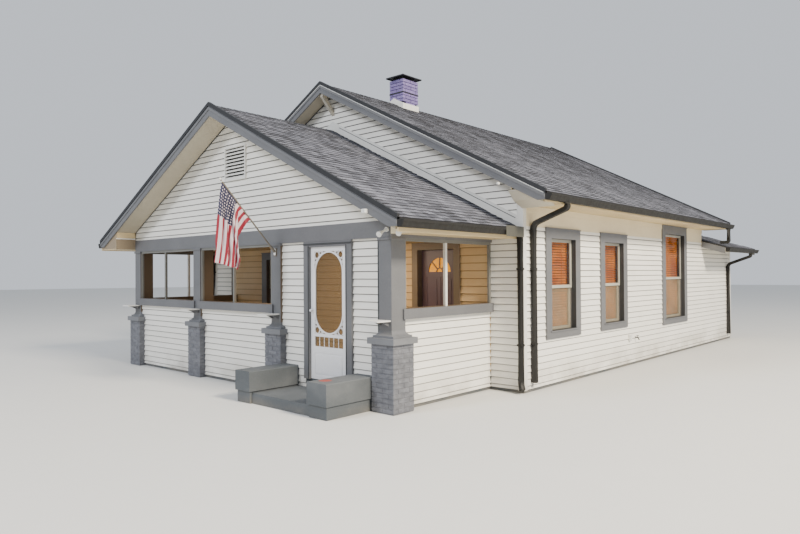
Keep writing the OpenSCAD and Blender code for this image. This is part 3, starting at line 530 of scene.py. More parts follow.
@dataclass(frozen=True)
class Finish:
    """A surface finish: colours laid over each other where masks rise, reliefs, and gloss."""

    name: str
    colour: str
    roughness: float = 0.6

    def noises(self) -> dict[str, tuple[Triple, float, float]]:
        """Noises by name: features a metre along X, Y and Z, octaves, and strength of the finer ones."""
        raise NotImplementedError

    def coats(self, tree: bpy.types.NodeTree, place: bpy.types.NodeSocket, noise: Noises) -> Coats:
        """Colours over the main one; a subclass may add a pattern of its own to the noises."""
        raise NotImplementedError

    def reliefs(self) -> dict[str, float]:
        """Depth in millimetres of the relief that each noise gives."""
        raise NotImplementedError

    def gloss(self, tree: bpy.types.NodeTree, noise: Noises, colour: bpy.types.NodeSocket) -> dict:
        """Inputs of the shader apart from colour and relief, as feed() takes them."""
        return {"Roughness": self.roughness}

    def material(self) -> bpy.types.Material:
        """Makes the material, once.

        Returns:
            The Blender material.
        """
        found = bpy.data.materials.get(self.name)
        if found:
            return found
        made = bpy.data.materials.new(self.name)
        made.use_nodes = True
        tree = made.node_tree
        place = add(tree, "TexCoord").outputs["Object"]
        noise = {}
        for key, (per_metre, octaves, finer) in self.noises().items():
            scaled = add(tree, "Mapping", {"Vector": place, "Scale": per_metre})
            noise[key] = add(tree, "TexNoise",
                             {"Vector": scaled, "Scale": 1.0, "Detail": octaves, "Roughness": finer})
        colour, relief = linear(self.colour), None
        for mask, low, high, share, over in self.coats(tree, place, noise):
            part = add(tree, "MapRange", {0: mask, 1: low, 2: high, 4: share}, clamp=True)
            colour = add(tree, "Mix", {0: part, 6: colour, 7: linear(over)}, data_type="RGBA").outputs[2]
        for key, depth in self.reliefs().items():
            below = {"Normal": relief} if relief else {}
            relief = add(tree, "Bump", {"Height": noise[key], "Distance": depth / 1000, "Strength": 1.0} | below)
        feed(tree.nodes["Principled BSDF"],
             {"Base Color": colour, "Normal": relief} | self.gloss(tree, noise, colour))
        return made


@dataclass(frozen=True)
class Paint(Finish):
    """Brushed house paint: faint brush marks along the board, blotches, and splashed soil low down.

    On siding each course has its tint and a painted shadow line under its lap. Inner is the colour within the
    porch's outer faces, joints the width of boards along X, bare the place of a worn spot.
    """

    worn: str = "#8f8f8b"
    soil: str = "#7c7466"
    grain: Triple = (9.0, 9.0, 130.0)
    blotch: float = 0.35
    soil_top: float = 0.45
    relief_mm: float = 0.5
    course: float = 0.0
    # colour of the painted shadow line under each lap
    lap_shadow: str = "#403e39"
    inner: str = ""
    inner_limits: tuple[tuple[str, float, str], ...] = (
        ("Y", -2.404, "GREATER_THAN"), ("X", 3.862, "LESS_THAN"), ("X", -3.652, "GREATER_THAN"))
    joints: float = 0.0
    joint_colour: str = "#4a4238"
    bare: Triple = ()
    bare_colour: str = "#a03a2c"
    bare_radius: float = 0.12

    def noises(self) -> dict[str, tuple[Triple, float, float]]:
        """Brush marks, blotches of half a metre, and a fine tooth."""
        return {"marks": (self.grain, 4, 0.6), "blotches": ((1.3, 1.3, 2.1), 5, 0.6),
                "tooth": ((60, 60, 60), 2, 0.55)}

    def reliefs(self) -> dict[str, float]:
        """Brush marks with a finer tooth on them."""
        return {"marks": self.relief_mm, "tooth": self.relief_mm * 0.6}

    def coats(self, tree: bpy.types.NodeTree, place: bpy.types.NodeSocket, noise: Noises) -> Coats:
        """Wear by blotches and marks, courses with painted lap shadows, inner colour, joints, the worn spot and
        soil.

        Args:
            tree: The material's node tree.
            place: The Object coordinates.
            noise: The noises.

        Returns:
            The colours over the main one.
        """
        axes = add(tree, "SeparateXYZ", {0: place}).outputs
        coats = [(noise["blotches"], 0.42, 0.72, self.blotch, self.worn),
                 (noise["marks"], 0.35, 0.75, 0.16, self.worn)]
        # each course gets a random tint, and a painted shadow line just under the lap above it
        if self.course:
            row = add(tree, "Math", {0: axes["Z"], 1: self.course}, operation="DIVIDE")
            whole = add(tree, "Math", {0: row}, operation="FLOOR")
            part = add(tree, "Math", {0: row}, operation="FRACT")
            coats += [(add(tree, "TexWhiteNoise", {"W": whole}, noise_dimensions="1D"), 0, 1, 0.14, self.worn),
                      (part, 1 - 0.020 / self.course, 1 - 0.007 / self.course, 0.9, self.lap_shadow)]
        if self.inner:
            mask = 1.0
            for axis, limit, way in self.inner_limits:
                one = add(tree, "Math", {0: axes[axis], 1: limit}, operation=way)
                mask = add(tree, "Math", {0: mask, 1: one}, operation="MULTIPLY")
            coats.append((mask, 0, 1, 1, self.inner))
        if self.joints:
            part = add(tree, "Math", {0: axes["X"], 1: self.joints}, operation="DIVIDE")
            part = add(tree, "Math", {0: part}, operation="FRACT")
            part = add(tree, "Math", {0: part, 1: 0.5}, operation="SUBTRACT")
            part = add(tree, "Math", {0: part}, operation="ABSOLUTE")
            coats.append((part, 0.5 - 0.006 / self.joints, 0.5 - 0.002 / self.joints, 0.75, self.joint_colour))
        if self.bare:
            away = add(tree, "VectorMath", {0: place, 1: self.bare}, operation="DISTANCE").outputs["Value"]
            ragged = add(tree, "MapRange", {0: noise["marks"], 1: 0.3, 2: 0.7, 4: 0.05}, clamp=True)
            coats.append((add(tree, "Math", {0: away, 1: ragged}, operation="ADD"),
                          self.bare_radius, self.bare_radius * 0.8, 0.85, self.bare_colour))
        if self.soil_top:
            low = add(tree, "MapRange", {0: axes["Z"], 1: self.soil_top, 2: 0.0, 4: 1.0}, clamp=True)
            patchy = add(tree, "MapRange", {0: noise["blotches"], 1: 0.35, 2: 0.7, 4: 0.75}, clamp=True)
            coats.append((add(tree, "Math", {0: low, 1: patchy}, operation="MULTIPLY"), 0, 1, 1, self.soil))
        return coats


@dataclass(frozen=True)
class Granules(Finish):
    """Asphalt shingle: granules of about 3 mm drawn at 9 mm so that they show, tinted tabs, long stains."""

    light: str = "#8f8c96"
    middle: str = "#706e76"
    # near-black painted shade on the tabs' butt faces
    butt: str = "#0c0c0e"

    def noises(self) -> dict[str, tuple[Triple, float, float]]:
        """Grit, patches of a hand's width, and stains that run down the slope."""
        return {"grit": ((110, 110, 110), 2, 0.7), "patches": ((3.2, 5.0, 3.2), 4, 0.65),
                "stains": ((0.5, 1.6, 0.5), 3, 0.5)}

    def reliefs(self) -> dict[str, float]:
        """The grit stands out."""
        return {"grit": 2.0}

    def coats(self, tree: bpy.types.NodeTree, place: bpy.types.NodeSocket, noise: Noises) -> Coats:
        """Light grit over dark, then the middle colour in patches, a tint for each tab and painted shade on the
        butts.

        Args:
            tree: The material's node tree.
            place: The Object coordinates; not used.
            noise: The noises.

        Returns:
            The colours over the main one.
        """
        tab = add(tree, "NewGeometry").outputs
        # faces that tilt away from the sky, the tabs' butts, get near-black painted shade
        facing = add(tree, "SeparateXYZ", {0: tab["True Normal"]}).outputs["Z"]
        return [(noise["grit"], 0.36, 0.64, 1, self.light), (noise["patches"], 0.40, 0.66, 0.55, self.middle),
                (tab["Random Per Island"], 0.2, 0.9, 0.7, self.colour), (facing, 0.75, 0.6, 0.92, self.butt),
                (noise["stains"], 0.5, 0.75, 0.3, self.light)]


@dataclass(frozen=True)
class Brick(Finish):
    """Painted brick: thick paint over a face with pits of about 8 mm, darker in the pits."""

    pit: str = "#55565a"
    glint: str = "#a9abb0"

    def noises(self) -> dict[str, tuple[Triple, float, float]]:
        """Pits, and blotches the size of a brick."""
        return {"pits": ((95, 95, 95), 4, 0.65), "blotches": ((9, 9, 16), 3, 0.6)}

    def reliefs(self) -> dict[str, float]:
        """The pits sink in."""
        return {"pits": 3.0}

    def coats(self, tree: bpy.types.NodeTree, place: bpy.types.NodeSocket, noise: Noises) -> Coats:
        """Glints by blotches, a tint for each brick, and dark pits."""
        return [(noise["blotches"], 0.38, 0.66, 0.5, self.glint),
                (add(tree, "NewGeometry").outputs["Random Per Island"], 0, 1, 0.35, self.pit),
                (noise["pits"], 0.50, 0.36, 0.85, self.pit)]


@dataclass(frozen=True)
class SheetMetal(Finish):
    """Painted sheet metal: an even coat with faint chalky runs and a slightly wavy face."""

    chalk: str = "#6a665c"

    def noises(self) -> dict[str, tuple[Triple, float, float]]:
        """Runs 45 mm apart, and dents 200 mm wide."""
        return {"runs": ((22, 22, 1.5), 4, 0.6), "dents": ((5, 5, 5), 2, 0.5)}

    def reliefs(self) -> dict[str, float]:
        """Shallow dents."""
        return {"dents": 1.2}

    def coats(self, tree: bpy.types.NodeTree, place: bpy.types.NodeSocket, noise: Noises) -> Coats:
        """Chalk in the runs."""
        return [(noise["runs"], 0.45, 0.75, 0.45, self.chalk)]

    def gloss(self, tree: bpy.types.NodeTree, noise: Noises, colour: bpy.types.NodeSocket) -> dict:
        """The chalk is duller than the coat."""
        dull = {0: noise["runs"], 1: 0.3, 2: 0.7, 3: self.roughness - 0.1, 4: self.roughness + 0.15}
        return {"Roughness": add(tree, "MapRange", dull, clamp=True)}


@dataclass(frozen=True)
class Pane(Finish):
    """Old window glass, seen through as a thin tinted sheet: a little wavy, with some dust."""

    alpha: float = 0.22
    glow: float = 0.0
    dust: str = "#b9b6ac"

    def noises(self) -> dict[str, tuple[Triple, float, float]]:
        """Waves of 300 mm, and specks of dust."""
        return {"waves": ((3, 3, 5), 1, 0.55), "dust": ((14, 14, 14), 4, 0.7)}

    def reliefs(self) -> dict[str, float]:
        """The waves of drawn glass."""
        return {"waves": 1.0}

    def coats(self, tree: bpy.types.NodeTree, place: bpy.types.NodeSocket, noise: Noises) -> Coats:
        """Dust in specks."""
        return [(noise["dust"], 0.5, 0.8, 0.4, self.dust)]

    def gloss(self, tree: bpy.types.NodeTree, noise: Noises, colour: bpy.types.NodeSocket) -> dict:
        """Clear glass, lit from behind where it glows."""
        lit = {"Emission Color": colour, "Emission Strength": self.glow} if self.glow else {}
        return {"Roughness": self.roughness, "Alpha": self.alpha, "IOR": 1.5} | lit


@dataclass(frozen=True)
class Screen(Finish):
    """Woven insect screen: threads 1.5 mm apart, drawn as a cross pattern of 6 mm so that they show."""

    alpha: float = 0.5
    sag: str = "#5e4c30"

    def noises(self) -> dict[str, tuple[Triple, float, float]]:
        """A faint sag."""
        return {"tone": ((2, 2, 2), 2, 0.55)}

    def reliefs(self) -> dict[str, float]:
        """The crossed threads."""
        return {"weave": 0.5}

    def coats(self, tree: bpy.types.NodeTree, place: bpy.types.NodeSocket, noise: Noises) -> Coats:
        """A darker tone where it sags; adds the weave to the noises.

        Args:
            tree: The material's node tree.
            place: The Object coordinates.
            noise: The noises.

        Returns:
            The colours over the main one.
        """
        threads = [add(tree, "TexWave", {"Vector": place, "Scale": 52.0}, bands_direction=way).outputs["Fac"]
                   for way in "XZ"]
        noise["weave"] = add(tree, "Math", dict(enumerate(threads)), operation="MAXIMUM")
        return [(noise["tone"], 0.3, 0.7, 0.3, self.sag)]

    def gloss(self, tree: bpy.types.NodeTree, noise: Noises, colour: bpy.types.NodeSocket) -> dict:
        """Threads with holes between them."""
        return {"Roughness": self.roughness, "Alpha": self.alpha}


@dataclass(frozen=True)
class Bunting(Finish):
    """Woven nylon of a striped flag with a dotted canton, read from the cloth's own UV map."""

    pale: str = "#c3b6bb"
    canton: str = "#0a1238"
    stripes: int = 13
    canton_stripes: int = 7
    canton_foot: float = 0.60
    dots: Triple = (16.7, 25.0, 1.0)

    def noises(self) -> dict[str, tuple[Triple, float, float]]:
        """A weave of 2.4 mm, coarser than the real one, so that it shows."""
        return {"weave": ((420, 420, 420), 2, 0.55)}

    def reliefs(self) -> dict[str, float]:
        """The weave."""
        return {"weave": 0.3}

    def coats(self, tree: bpy.types.NodeTree, place: bpy.types.NodeSocket, noise: Noises) -> Coats:
        """Stripes run down the hanging cloth, and the canton fills its top corner.

        Args:
            tree: The material's node tree.
            place: The Object coordinates; not used.
            noise: The noises.

        Returns:
            The colours over the main one.
        """
        flat = add(tree, "UVMap", uv_map="UVMap")
        axes = add(tree, "SeparateXYZ", {0: flat}).outputs
        count = add(tree, "Math", {0: axes["X"], 1: float(self.stripes)}, operation="MULTIPLY")
        whole = add(tree, "Math", {0: count}, operation="FLOOR")
        odd = add(tree, "Math", {0: whole, 1: 2.0}, operation="MODULO")
        down = add(tree, "Math", {0: axes["Y"], 1: self.canton_foot}, operation="GREATER_THAN")
        across = add(tree, "Math", {0: axes["X"], 1: self.canton_stripes / self.stripes}, operation="LESS_THAN")
        corner = add(tree, "Math", {0: down, 1: across}, operation="MULTIPLY")
        cell = add(tree, "TexVoronoi", {"Vector": add(tree, "Mapping", {"Vector": flat, "Scale": self.dots}),
                                        "Scale": 1.0, "Randomness": 0.0})
        dot = add(tree, "MapRange", {0: cell, 1: 0.27, 2: 0.22, 4: 1.0}, clamp=True)
        star = add(tree, "Math", {0: corner, 1: dot}, operation="MULTIPLY")
        return [(odd, 0, 1, 1, self.pale), (corner, 0, 1, 1, self.canton), (star, 0, 1, 1, self.pale),
                (noise["weave"], 0.4, 0.7, 0.12, self.canton)]

    def gloss(self, tree: bpy.types.NodeTree, noise: Noises, colour: bpy.types.NodeSocket) -> dict:
        """A faint sheen."""
        return {"Roughness": self.roughness, "Sheen Weight": 0.2}


@dataclass(frozen=True)
class Slats(Finish):
    """Stained wooden blind slats: long grain on each slat, and an uneven glow of the lamps behind."""

    dark: str = "#5a2c10"
    lamp: str = "#dc8314"
    glow: float = 0.55

    def noises(self) -> dict[str, tuple[Triple, float, float]]:
        """Grain 4 mm high, and the lamps' patches."""
        return {"grain": ((6, 6, 260), 4, 0.6), "lamp": ((1.4, 1.4, 1.8), 2, 0.5)}

    def reliefs(self) -> dict[str, float]:
        """The grain."""
        return {"grain": 0.4}

    def coats(self, tree: bpy.types.NodeTree, place: bpy.types.NodeSocket, noise: Noises) -> Coats:
        """Dark grain, and lamp light over it."""
        return [(noise["grain"], 0.4, 0.7, 0.6, self.dark), (noise["lamp"], 0.42, 0.62, 0.6, self.lamp)]

    def gloss(self, tree: bpy.types.NodeTree, noise: Noises, colour: bpy.types.NodeSocket) -> dict:
        """Lit wood."""
        return {"Roughness": self.roughness, "Emission Color": colour, "Emission Strength": self.glow}


EVEN, FINE = (40, 40, 40), (30, 30, 30)
# Satin house paints on boards: even, with faint marks, chalky where worn
TRIM = Paint("grey_trim_paint", "#5f6063", 0.5, "#7b7c7e", grain=EVEN, blotch=0.3)
PORCH_TRIM = Paint("grey_and_brown_porch_trim", "#5f6063", 0.5, "#7b7c7e", grain=EVEN, blotch=0.3, inner="#5f5040")
WHITE_TRIM = Paint("white_trim_paint", "#dfded9", 0.5, "#b5b3ab", grain=FINE)
INNER_TRIM = Paint("brown_trim_paint", "#6f604f", 0.5, "#8a7a64", grain=EVEN)
# the siding paints draw a painted shadow line under each lap
SIDING = Paint("white_lap_siding_paint", "#efede6", 0.55, "#d2cfc6", blotch=0.3, course=0.108, relief_mm=0.6)
# the tan inside the porch is partly the wall's paint and partly painted warm light
INNER_SIDING = Paint("tan_siding_paint_and_painted_warm_light", "#d2b68a", 0.55, "#b8925c", course=0.13, lap_shadow="#8a6a40")
# The same paints high up, where no soil splashes
FRIEZE = Paint("cream_frieze_paint", "#e4d8ba", 0.6, "#c9bb9a", soil_top=0)
BRACE = Paint("beige_brace_paint", "#bdb6a6", 0.55, "#9d9686", grain=EVEN, soil_top=0)
RETURN_TAN = Paint("tan_return_paint", "#8f7f68", 0.6, "#7a6c58", grain=EVEN, soil_top=0)
MULLION_PAINT = Paint("grey_mullion_paint", "#6c6c68", 0.5, "#85847e", grain=EVEN, soil_top=0)
SASH_PAINT = Paint("weathered_sash_paint", "#a9a699", 0.45, "#8b897f", grain=EVEN, soil_top=0)
# dark paint of the window reveals, also used for strips of painted shade under the rake soffits, at the screen
# door's jambs and over the flashing
REVEAL_PAINT_AND_SHADE = Paint("dark_reveal_paint_and_painted_shade", "#303234", 0.5, "#45474a", grain=EVEN, soil_top=0)
# Boards under the roofs: marks run along Y, with dark joints between matched boards
RAKE_SOFFIT = Paint("beige_roof_boards", "#b3aa95", 0.6, "#968d79", grain=(60, 8, 60), soil_top=0)
SOFFIT = Paint("beige_soffit_paint", "#d6c094", 0.6, "#b3a07a", grain=(40, 6, 40), soil_top=0, joints=0.11)
CEILING = Paint("beige_ceiling_boards", "#c4a878", 0.6, "#a58c62", grain=(60, 6, 60), soil_top=0, joints=0.08)
# Rolled wall paint on plaster, and the attic's unlit air behind the louvres: dull, hardly marked
PLASTER = Paint("painted_plaster", "#d9d2c4", 0.8, "#c2baaa", soil_top=0)
ATTIC_DARK = Paint("dark_attic_air", "#2c2a26", 0.9, "#1d1b18", soil_top=0)
PALE_FLOOR = Paint("pale_floor", "#d2d2cf", 0.9, "#cbcbc8", grain=(2, 2, 2), blotch=0.1, relief_mm=0.1, soil_top=0)
# Masonry paint on cast concrete: a coarse tooth, mottled, with one spot worn through to red
CONCRETE = Paint("grey_painted_concrete", "#4c5155", 0.7, "#727577", grain=(60, 60, 60), blotch=0.5,
                 relief_mm=2.0, soil_top=0.12, bare=(3.27, -3.08, 0.475))
CAP_CONCRETE = Paint("grey_painted_cast_caps", "#707276", 0.65, "#5b5d61", grain=(50, 50, 50), blotch=0.6,
                     relief_mm=2.0, soil_top=0)
# Mineral granules on asphalt: matt and speckled; the ridge's caps are darker, as painted shade
SHINGLES = Granules("charcoal_asphalt_shingles", "#26282f", 0.9, "#90929f", "#565964")
RIDGE_SHINGLES = Granules("shade_darkened_ridge_caps", "#141519", 0.9, "#43464f", "#24262c")
# Fired clay brick under thick paint
PIER_BRICK = Brick("grey_painted_brick", "#63656c", 0.65, glint="#8f9198")
CHIMNEY_BRICK = Brick("purple_painted_brick", "#7a6aa4", 0.7, "#423a60", "#9f92c4")
# Baked enamel on folded steel or aluminium, as paint and not as bare metal: satin with chalky runs
BRONZE = SheetMetal("bronze_gutter_metal", "#0d0c09", 0.65, "#1d1b16")
GUARD_METAL = SheetMetal("weathered_guard_metal", "#45443d", 0.5, "#5c5b52")
BLACK_METAL = SheetMetal("black_folded_metal", "#17181b", 0.5, "#2b2d31")
WHITE_METAL = SheetMetal("white_sheet_metal", "#dcdcd8", 0.4, "#b3b3ae")
ALUMINIUM = SheetMetal("dull_pole_metal", "#6f675b", 0.45, "#4f483d")
# Drawn soda-lime glass, clear in the windows and amber over the entry door
GLASS = Pane("old_window_panes", "#22303a", 0.04, 0.16)
AMBER = Pane("lit_amber_panes", "#e09606", 0.1, 0.95, 0.75)
# Woven fibreglass thread: a brown veil in the door, a grey one at the windows
INSECT_SCREEN = Screen("door_insect_screen", "#6b5230", 0.7, 0.42)
WINDOW_SCREEN = Screen("window_insect_screen", "#9c9078", 0.9, 0.26)
# Dyed woven nylon, and stained bass wood lit from behind
FLAG_CLOTH = Bunting("woven_flag_nylon", "#800020", 0.7)
BLIND = Slats("wooden_blind_slats", "#a5540c", 0.45, glow=0.5)
# Gloss enamel on the doors, brushed
DOOR_WHITE = Paint("brushed_white_door_paint", "#e9e9ea", 0.4, "#c8c8ca", grain=FINE, soil_top=0.3)
DOOR_PLUM = Paint("brushed_plum_door_paint", "#5c4a55", 0.4, "#6c5a64", grain=(12, 12, 90), soil_top=0)


def coat(obj: Piece, finish: Finish) -> None:
    """Gives a piece one finish all over.

    Args:
        obj: The piece or CAD node.
        finish: Its finish.
    """
    made = finish.material()
    if not obj.material_slots:
        obj.data.materials.append(made)
    for slot in obj.material_slots:
        slot.material = made


def dress(finish: Finish, *nodes: str) -> None:
    """Gives CAD nodes a finish."""
    for node in nodes:
        coat(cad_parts[node], finish)


def hand_over(name: str, parts: Sequence[Piece], finish: Finish, ease: float = 0.0,
              instead_of: Sequence[str] = ()) -> Piece:
    """Joins parts into a finished piece of the house.

    Args:
        name: Name of the piece.
        parts: Its parts.
        finish: Its finish.
        ease: Width of its eased edges, or 0.
        instead_of: CAD nodes that it replaces.

    Returns:
        The piece.
    """
    obj = join(parts)
    obj.name = name
    if ease:
        rounded(obj, ease)
    coat(obj, finish)
    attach(obj, "house")
    if instead_of:
        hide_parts(*instead_of)
    LOG.info("%s: %d faces", obj.name, len(obj.data.polygons))
    return obj


# Studio

@dataclass
class Studio:
    """Pale floor, soft lights and the camera at the photograph's place."""

    camera_place: Triple = (9.810, -8.777, 1.911)
    yaw: float = 42.256
    pitch: float = 0.550
    roll: float = -0.366
    lens_mm: float = 28.81
    floor_radius: float = 90.0
    floor_drop: float = 0.004
    surround: tuple[str, float] = ("#e3e9f2", 0.95)

    def build(self) -> None:
        """Makes the floor, the world, the lights and the camera."""
        disc = primitive("circle", vertices=96, radius=self.floor_radius, fill_type="NGON",
                         location=(0, 0, -self.floor_drop))
        disc.name = "studio_floor"
        coat(disc, PALE_FLOOR)
        world = bpy.data.worlds.new("soft_surround")
        world.use_nodes = True
        colour, strength = self.surround
        feed(world.node_tree.nodes["Background"], {"Color": linear(colour), "Strength": strength})
        bpy.context.scene.world = world
        # Warm key from the driveway side, cool fill in front, warm lamp in the porch
        self.area("key", (24, -3, 17), (2, 3, 2), 5, 15000, "#fff2dc")
        self.area("fill", (-2, -22, 17), (0, 0, 2), 5, 4000, "#f1f4fc")
        self.area("porch_lamp", (1.4, -1.25, 2.40), (1.4, -0.9, 0), 1.6, 84, "#ffe4bc")
        self.camera()

    def area(self, name: str, place: Triple, aim: Triple, size: float, watts: float, colour: str) -> None:
        """Adds one soft lamp.

        Args:
            name: Name of the lamp.
            place: Where it stands.
            aim: Point that it looks at.
            size: Side of its square.
            watts: Its power.
            colour: Its colour.
        """
        bpy.ops.object.light_add(type="AREA", location=place)
        lamp = bpy.context.object
        lamp.name = name
        lamp.rotation_euler = (Vector(aim) - Vector(place)).to_track_quat("-Z", "Y").to_euler()
        lamp.data.size = size
        lamp.data.energy = watts
        lamp.data.color = linear(colour)[:3]

    def camera(self) -> None:
        """Sets the camera by its place, yaw, pitch and roll."""
        a, b, r = (math.radians(v) for v in (self.yaw, self.pitch, self.roll))
        ahead = Vector((-math.sin(a) * math.cos(b), math.cos(a) * math.cos(b), math.sin(b)))
        level = Vector((math.cos(a), math.sin(a), 0))
        upright = level.cross(ahead)
        right = level * math.cos(r) + upright * math.sin(r)
        up = upright * math.cos(r) - level * math.sin(r)
        bpy.ops.object.camera_add(location=self.camera_place)
        camera = bpy.context.object
        camera.name = "photo_camera"
        turn = Matrix((right, up, -ahead)).transposed().to_4x4()
        camera.matrix_world = Matrix.Translation(self.camera_place) @ turn
        camera.data.lens = self.lens_mm
        camera.data.sensor_width = 36
        camera.data.clip_end = 300
        bpy.context.scene.camera = camera


# Windows

@dataclass(frozen=True)
class WindowPlace:
    """One window as it is drawn on the front: its wall, its edges and the plane of its wall's core."""

    facing: Facing
    left: float
    right: float
    sill: float
    head: float
    rail: float
    plane: float
    casing: Box

    def slab(self, along: Span, depth: Span, rise: Span) -> Corners:
        """Corners of a board drawn on the front, with its depth from the wall's core."""
        return ((along[0], self.plane + depth[0], rise[0]), (along[1], self.plane + depth[1], rise[1]))


def window_places(casing_depth: float = 0.130, side: float = 4.0, rear: float = 9.0) -> list[WindowPlace]:
    """Finds every window from the casings and sashes.

    Args:
        casing_depth: How far the wall's core stands before a casing's back.
        side: Distance from the middle of the house past which a casing is in a side wall.
        rear: Place along Y past which it is in the rear wall.

    Returns:
        The windows.
    """
    places, sashes = [], solids_of("window_sashes")
    for casing in solids_of("window_casings"):
        facing = (Facing.RIGHT if casing.lo.x > side else Facing.LEFT if casing.hi.x < -side else
                  Facing.REAR if casing.lo.y > rear else Facing.FRONT)
        turn = facing.turn(-1)
        inside = [s for s in sashes if all(a < b < c for a, b, c in zip(casing.lo, s.centre, casing.hi))]
        ends = sorted((turn @ p).x for s in inside for p in (s.lo, s.hi))
        levels = sorted(z for s in inside for z in (s.lo.z, s.hi.z))
        seen = box_round([turn @ casing.lo, turn @ casing.hi])
        places.append(WindowPlace(facing, ends[0], ends[-1], levels[0], levels[-1], sum(levels[1:-1]) / 2,
                                  seen.hi.y - casing_depth, seen))
    return places


@dataclass
class Windows:
    """Reveals, casing trims, insect screens, glazing beads and slatted blinds of all the windows."""

    slat_pitch: float = 0.046
    slat: Triple = (0.134, 0.156, 0.003)
    slat_drop: float = 0.036
    blind_lap: float = 0.035
    blind_rise: float = 0.03
    cord_half: float = 0.006
    reveal_t: float = 0.003
    casing_face: float = -0.042
    drip_cap: Span = (0.018, 0.012)
    stool: Span = (0.022, 0.030)
    net: Span = (0.066, 0.0675)
    net_lap: float = 0.024
    lining_backs: Span = (0.0445, 0.077)
    gap: float = 0.004
    cover: float = 0.002
    ear: float = 0.008
    horn: float = 0.05
    sash_stile: float = 0.045
    bead: float = 0.008
    bead_depths: tuple[Span, Span] = ((0.052, 0.058), (0.085, 0.091))

    def blind(self, place: WindowPlace) -> list[Piece]:
        """Hangs slats, rails and cords behind one window.

        Args:
            place: The window.

        Returns:
            The slats and the other parts.
        """
        low, high = place.left - self.blind_lap, place.right + self.blind_lap
        bottom, top = place.sill - self.blind_rise, place.head + self.blind_rise
        y0, y1 = place.plane + self.slat[0], place.plane + self.slat[1]
        slat = block((low, y0, top - 0.06), (high, y1, top - 0.06 + self.slat[2]))
        shift(slat, lambda p: p.y > y1 - NEAR, (0, 0, self.slat_drop))
        array(slat, int((top - bottom - 0.09) / self.slat_pitch), (0, 0, -self.slat_pitch))
        parts = [((low, y0, top - 0.02), (high, y1, top + 0.008)), ((low, y0, bottom), (high, y1, bottom + 0.02))]
        cords = 3 if high - low > 1.1 else 2
        for i in range(cords):
            x = low + (high - low) * (i + 0.5) / cords
            parts.append(((x - self.cord_half, y0 - 0.002, bottom), (x + self.cord_half, y0, top)))
        return [slat] + blocks(parts)

    def boards(self, place: WindowPlace) -> dict[str, list[Corners]]:
        """Boards of one window.

        Args:
            place: The window.

        Returns:
            Corners of the boards, by the piece that they belong to.
        """
        left, right, sill, head = place.left, place.right, place.sill, place.head
        box, face, t, w, gap = place.casing, self.casing_face, self.reveal_t, self.bead, self.gap
        (side_back, sill_back), (high, nose) = self.lining_backs, self.stool
        lining, cover, rise = (face + gap, side_back), (face - self.cover, face + gap), (sill + 0.001, head - 0.001)
        made = {
            "reveals": [place.slab((left, left + t), lining, (sill, head)),
                        place.slab((right - t, right), lining, (sill, head)),
                        place.slab((left, right), lining, (head - t, head)),
                        place.slab((left, right), (face + gap, sill_back), (sill, sill + t))],
            "trims": [place.slab((box.lo.x - self.ear, box.hi.x + self.ear), (face - self.drip_cap[1], -0.012),
                                 (box.hi.z - self.drip_cap[0], box.hi.z + 0.003)),
                      place.slab((left - self.horn, right + self.horn), (face - nose / 2, face + 0.01),
                                 (sill - high, sill)),
                      place.slab((box.lo.x, left - gap), cover, rise),
                      place.slab((right + gap, box.hi.x), cover, rise)],
            "screens": [], "beads": []}
        if place.facing is not Facing.FRONT:
            made["screens"] = [place.slab((left + gap, right - gap), self.net,
                                          (sill + gap, place.rail - self.net_lap))]
        a, b = left + self.sash_stile, right - self.sash_stile
        half_rail = self.sash_stile / 2
        for (low, high), deep in zip(((place.rail + half_rail, head - self.sash_stile),
                                      (sill + self.sash_stile, place.rail - half_rail)), self.bead_depths):
            made["beads"] += [place.slab(along, deep, up) for along, up in (
                ((a, a + w), (low, high)), ((b - w, b), (low, high)),
                ((a, b), (low, low + w)), ((a, b), (high - w, high)))]
        return made

    def build(self) -> None:
        """Makes and hands over the windows' pieces, grouped by what they are made of."""
        dress(TRIM, "window_casings")
        dress(SASH_PAINT, "window_sashes")
        dress(GLASS, "window_glass")
        groups = {key: [] for key in ("blinds", "reveals", "trims", "screens", "beads")}
        for place in window_places():
            made = {"blinds": self.blind(place)} | {k: blocks(c) for k, c in self.boards(place).items() if c}
            for key, parts in made.items():
                for part in parts:
                    part.data.transform(place.facing.turn())
                groups[key] += parts
        hand_over("blind_slats", groups["blinds"], BLIND, instead_of=["window_blinds"])
        hand_over("window_reveals", groups["reveals"], REVEAL_PAINT_AND_SHADE)
        hand_over("window_trims", groups["trims"], TRIM, 0.002)
        hand_over("window_screens", groups["screens"], WINDOW_SCREEN)
        hand_over("glazing_beads", groups["beads"], SASH_PAINT)


# Siding

